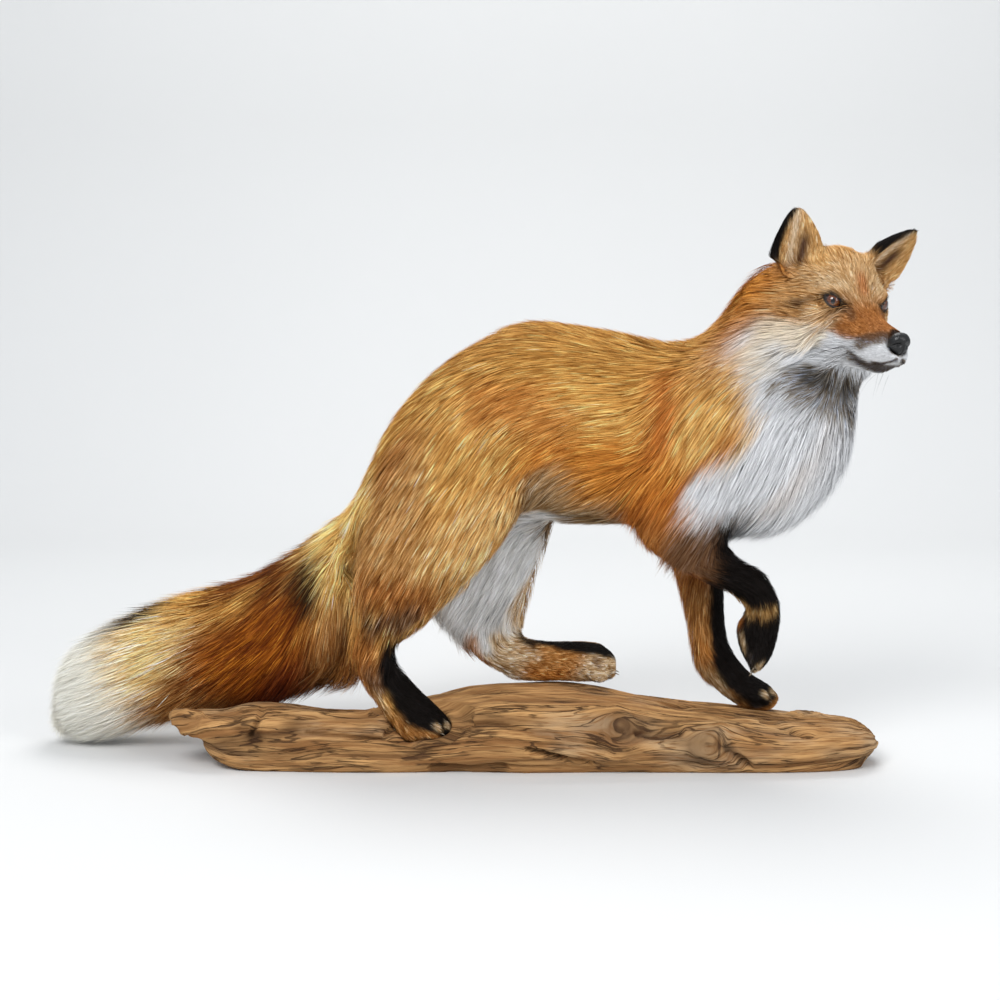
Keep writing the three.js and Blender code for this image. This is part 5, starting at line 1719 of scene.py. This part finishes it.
# Each light: its place, its width, and its power as a share of the main light's.
LIGHTS = {
    "key": ((-1.0, -2.1, 2.3), 1.5, 1),
    "fill": ((2.0, -1.8, 1.4), 1.6, 0.45),
    "top": ((0.2, 0.9, 2.4), 1.4, 0.5),
}
AIM_OFF_MIDDLE = np.array((0.025, 0, -0.015))  # where the camera looks, from the middle of the part
SENSOR = 36


def build_stage(settings):
    """A pale sweep, soft lights and the camera."""
    scene = bpy.context.scene
    low, high = (np.array(corner) for corner in CAD_BOX)
    middle = (low + high) / 2
    floor_and_wall(settings, low)
    scene.world = scene.world or bpy.data.worlds.new("Studio")
    scene.world.use_nodes = True
    background = scene.world.node_tree.nodes["Background"]
    background.inputs["Color"].default_value = (0.80, 0.86, 0.95, 1)
    background.inputs["Strength"].default_value = settings.ambient
    for name, (place, size, share) in LIGHTS.items():
        data = bpy.data.lights.new(name, "AREA")
        data.size = size
        data.energy = settings.key * share
        light = placed(name, data)
        light.location = place
        light.rotation_euler = (Vector(middle) - Vector(place)).to_track_quat("-Z", "Y").to_euler()
    aim = Vector(middle + AIM_OFF_MIDDLE)
    aim.y = 0
    ahead = Vector((0, math.cos(settings.tilt), -math.sin(settings.tilt)))
    data = bpy.data.cameras.new("camera")
    data.lens = settings.lens
    data.sensor_width = SENSOR
    camera = placed("camera", data)
    camera.location = aim - ahead * settings.distance
    camera.rotation_euler = ahead.to_track_quat("-Z", "Y").to_euler()
    scene.camera = camera
    scene.view_settings.view_transform = "Standard"


# The sweep, in metres: its front edge, where it starts to bend up, its bend's radius, its half width and
# its top, then the number of steps round its bend.
FRONT, BACK, BEND, HALF_WIDTH, TOP = -4.0, 1.3, 0.7, 5.0, 4.0
BEND_STEPS = 16


def floor_and_wall(settings, low):
    """A floor that curves up into a wall behind."""
    profile = [(FRONT, 0.0), (BACK, 0.0)]
    for i in range(1, BEND_STEPS + 1):
        turn = math.pi / 2 * i / BEND_STEPS
        profile.append((BACK + BEND * math.sin(turn), BEND * (1 - math.cos(turn))))
    profile.append((BACK + BEND, TOP))
    places = [(x, y, low[2] + z) for y, z in profile for x in (-HALF_WIDTH, HALF_WIDTH)]
    faces = [(2 * i, 2 * i + 1, 2 * i + 3, 2 * i + 2) for i in range(len(profile) - 1)]
    mesh = mesh_from("sweep", np.array(places), np.array(faces))
    mesh.polygons.foreach_set("use_smooth", np.ones(len(faces), bool))
    shader = Shader("Pale sweep", Roughness=0.9, Specular_IOR_Level=0.1)
    cloud = shader.noise(shader.place(), 1.5, 2)
    shader.set(Base_Color=shader.mix(cloud, settings.sweep, tuple(c * 0.97 for c in settings.sweep)))
    mesh.materials.append(shader.material)
    placed("sweep", mesh)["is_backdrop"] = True


# ---- Settings ---------------------------------------------------------------------------------------

COLOURS = {
    "tan": ("Tan of the back", (0.58, 0.30, 0.070)),
    "ribs": ("Pale gold over the ribs", (0.76, 0.42, 0.11)),
    "flank": ("Red gold of the lower flank", (0.64, 0.255, 0.04)),
    "shoulder": ("Gold of the shoulder", (0.74, 0.43, 0.13)),
    "nape": ("Red gold of the nape", (0.50, 0.19, 0.025)),
    "neck_gold": ("Gold of the neck's side", (0.57, 0.28, 0.07)),
    "hip": ("Tan of the hip", (0.66, 0.35, 0.09)),
    "thigh": ("Paler tan of the thigh", (0.75, 0.44, 0.155)),
    "haunch": ("Dull tan of the haunch", (0.52, 0.27, 0.085)),
    "belly": ("Grey tan of the belly", (0.36, 0.24, 0.12)),
    "rufous": ("Dark red band behind the shoulder", (0.50, 0.13, 0.015)),
    "white": ("White of the bib and tail tip", (0.76, 0.765, 0.775)),
    "warm_white": ("Warm white of the cheek", (0.84, 0.72, 0.55)),
    "cream": ("Cream of the ears and toes", (0.66, 0.48, 0.28)),
    "straw": ("Straw of the tail's root", (0.90, 0.58, 0.19)),
    "tail_cream": ("Cream before the tail's tip", (0.95, 0.68, 0.29)),
    "gold": ("Gold of the tail's top", (0.66, 0.34, 0.075)),
    "dark_gold": ("Dull gold under the tail", (0.42, 0.19, 0.055)),
    "umber": ("Dark brown of the tail", (0.24, 0.07, 0.008)),
    "russet": ("Red brown of the tail's side", (0.33, 0.088, 0.005)),
    "deep_red": ("Deep red under the tail", (0.17, 0.03, 0.005)),
    "rust": ("Rust behind the hock", (0.38, 0.14, 0.03)),
    "orange": ("Orange of the far foot", (0.52, 0.20, 0.04)),
    "fringe": ("Tan fringe of the forelegs", (0.50, 0.23, 0.065)),
    "band": ("Tan band at the wrist", (0.45, 0.26, 0.09)),
    "brown": ("Grey brown of the lower thigh", (0.17, 0.085, 0.04)),
    # The throat's dark collar and grey are partly dark hair tips and partly painted shade under the jaw; grey
    # is also painted shade on the far thigh.
    "throat": ("Dark collar of the throat", (0.072, 0.068, 0.066)),
    "grey": ("Grey of the throat", (0.19, 0.175, 0.17)),
    "black": ("Black of the legs and ears", (0.005, 0.003, 0.002)),
    "face": ("Pale gold of the forehead", (0.67, 0.44, 0.22)),
    "crown": ("Gold of the head's top", (0.66, 0.38, 0.14)),
    "cheek": ("Gold of the cheek", (0.58, 0.32, 0.12)),
    "muzzle": ("Red of the muzzle", (0.38, 0.145, 0.035)),
    "smudge": ("Dark marks of the face", (0.09, 0.05, 0.03)),
    "nose_black": ("Black fur behind the nose", (0.012, 0.009, 0.008)),
    "ear_gold": ("Gold inside of the ears", (0.72, 0.43, 0.17)),
    "ear_cream": ("Cream inside of the ears", (0.80, 0.62, 0.42)),
    "thigh_white": ("White inside of the thighs", (0.95, 0.95, 0.92)),
    "tip_white": ("Warm white of the tail's tip", (0.86, 0.83, 0.74)),
    # The ears' hollow: painted shade inside the cup.
    "hollow": ("Brown hollow of the ears", (0.11, 0.055, 0.035)),
    "rim": ("Bare skin round the eyes", (0.012, 0.009, 0.008)),
    # On the chin this dark is partly painted shade under the upper jaw.
    "lip": ("Dark lips and chin", (0.045, 0.030, 0.028)),
    "pad": ("Pads of the paws", (0.06, 0.05, 0.045)),
}


def colour_setting(label, default):
    return FloatVectorProperty(name=label, description=f"{label}: its colour", subtype="COLOR",
                               default=default, min=0, max=1)


def length_setting(label, description, default, low, high):
    return FloatProperty(name=label, description=description, default=default, unit="LENGTH",
                         min=low, max=high, precision=4)


class FOX_PG_coat(bpy.types.PropertyGroup):
    fullness: FloatProperty(name="Fullness", description="Share of the whole number of tufts", default=1.0,
                            min=0.05, max=1.0, subtype="FACTOR")
    __annotations__.update({name: colour_setting(*look) for name, look in COLOURS.items()})


class FOX_PG_eyes(bpy.types.PropertyGroup):
    radius: length_setting("Radius", "Radius of each glass eye", EYE_BALL * MM, 0.005, 0.02)
    iris: colour_setting("Iris", (0.19, 0.055, 0.013))
    iris_dark: colour_setting("Iris spokes", (0.08, 0.020, 0.006))


class FOX_PG_nose(bpy.types.PropertyGroup):
    leather: colour_setting("Leather", (0.006, 0.0055, 0.006))


class FOX_PG_claws(bpy.types.PropertyGroup):
    length: length_setting("Length", "Length of a claw", 0.007, 0.003, 0.03)
    horn: colour_setting("Horn", (0.40, 0.32, 0.22))


class FOX_PG_whiskers(bpy.types.PropertyGroup):
    reach: length_setting("Reach", "Length of the longest whisker", 0.075, 0.01, 0.12)
    whisker: colour_setting("Whisker", (0.008, 0.006, 0.006))


class FOX_PG_driftwood(bpy.types.PropertyGroup):
    wood: colour_setting("Wood", (0.56, 0.31, 0.120))
    heart: colour_setting("Darker streaks", (0.27, 0.125, 0.042))
    grey: colour_setting("Weathered grey", (0.50, 0.38, 0.24))
    # Used for the cracks, and as painted shade in the grooves.
    crack_and_groove_shade: colour_setting("Cracks", (0.040, 0.016, 0.007))


class FOX_PG_stage(bpy.types.PropertyGroup):
    lens: FloatProperty(name="Lens", description="Focal length in millimetres", default=78.12,
                        min=10, max=300)
    distance: length_setting("Distance", "From the camera to the fox", 2.3, 0.5, 10)
    tilt: FloatProperty(name="Tilt", description="How far the camera looks down", default=math.radians(9),
                        unit="ROTATION", min=0, max=1)
    key: FloatProperty(name="Key light", description="Power of the main light", default=62,
                       unit="POWER", min=0)
    ambient: FloatProperty(name="Ambient", description="Strength of the studio's even light",
                           default=0.55, min=0)
    sweep: colour_setting("Sweep", (0.72, 0.72, 0.71))


# ---- Operators --------------------------------------------------------------------------------------


def settings_of(context, name):
    return getattr(context.scene, f"fox_{name}")


class FOX_OT_stage(bpy.types.Operator):
    """Set up the pale sweep, the soft lights and the camera"""

    bl_idname = "fox.stage"
    bl_label = "Stage"

    def execute(self, context):
        build_stage(settings_of(context, "stage"))
        return {"FINISHED"}


class FOX_OT_skin(bpy.types.Operator):
    """Make the one skin over the whole body, with its lids, lips, ears and toes"""

    bl_idname = "fox.skin"
    bl_label = "Skin"

    def execute(self, context):
        build_skin(settings_of(context, "coat"))
        return {"FINISHED"}


class FOX_OT_coat(bpy.types.Operator):
    """Grow the coat's tufts from the skin, in nine pieces"""

    bl_idname = "fox.coat"
    bl_label = "Coat"

    def execute(self, context):
        if "skin" not in bpy.data.objects:
            raise RuntimeError("make the skin before the coat")
        build_coat(settings_of(context, "coat"))
        return {"FINISHED"}


class FOX_OT_eyes(bpy.types.Operator):
    """Make the two glass eyes"""

    bl_idname = "fox.eyes"
    bl_label = "Eyes"

    def execute(self, context):
        build_eyes(settings_of(context, "eyes"))
        return {"FINISHED"}


class FOX_OT_nose(bpy.types.Operator):
    """Make the nose pad with its nostrils"""

    bl_idname = "fox.nose"
    bl_label = "Nose"

    def execute(self, context):
        build_nose(settings_of(context, "nose"))
        return {"FINISHED"}


class FOX_OT_claws(bpy.types.Operator):
    """Grow one claw from every toe"""

    bl_idname = "fox.claws"
    bl_label = "Claws"

    def execute(self, context):
        build_claws(settings_of(context, "claws"))
        return {"FINISHED"}


class FOX_OT_whiskers(bpy.types.Operator):
    """Grow the whiskers from the muzzle and brows"""

    bl_idname = "fox.whiskers"
    bl_label = "Whiskers"

    def execute(self, context):
        build_whiskers(settings_of(context, "whiskers"))
        return {"FINISHED"}


class FOX_OT_driftwood(bpy.types.Operator):
    """Carve the driftwood base with its grain, cracks and knots"""

    bl_idname = "fox.driftwood"
    bl_label = "Driftwood"

    def execute(self, context):
        build_driftwood(settings_of(context, "driftwood"))
        return {"FINISHED"}


STEPS = ("stage", "driftwood", "skin", "coat", "eyes", "nose", "claws", "whiskers")
GROUPS = {
    "stage": FOX_PG_stage,
    "driftwood": FOX_PG_driftwood,
    "coat": FOX_PG_coat,
    "eyes": FOX_PG_eyes,
    "nose": FOX_PG_nose,
    "claws": FOX_PG_claws,
    "whiskers": FOX_PG_whiskers,
}


class FOX_PT_panel(bpy.types.Panel):
    bl_label = "Mounted Red Fox"
    bl_idname = "FOX_PT_panel"
    bl_space_type = "VIEW_3D"
    bl_region_type = "UI"
    bl_category = "Fox"

    def draw(self, context):
        for step_name in STEPS:
            box = self.layout.box()
            box.operator(f"fox.{step_name}")
            if step_name in GROUPS:
                for setting in GROUPS[step_name].__annotations__:
                    box.prop(settings_of(context, step_name), setting)


CLASSES = (
    *GROUPS.values(), FOX_OT_stage, FOX_OT_skin, FOX_OT_coat, FOX_OT_eyes, FOX_OT_nose, FOX_OT_claws,
    FOX_OT_whiskers, FOX_OT_driftwood, FOX_PT_panel,
)


def register():
    for made in CLASSES:
        bpy.utils.register_class(made)
    for name, group in GROUPS.items():
        setattr(bpy.types.Scene, f"fox_{name}", PointerProperty(type=group))


def unregister():
    for name in GROUPS:
        delattr(bpy.types.Scene, f"fox_{name}")
    for made in reversed(CLASSES):
        bpy.utils.unregister_class(made)


def main():
    register()
    for step_name in STEPS:
        getattr(bpy.ops.fox, step_name)()
    boxes = {"cad": CAD_BOX, "visual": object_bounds()}
    sizes = {name: [list(map(float, corner)) for corner in box] for name, box in boxes.items()}


if __name__ == "__main__":
    main()
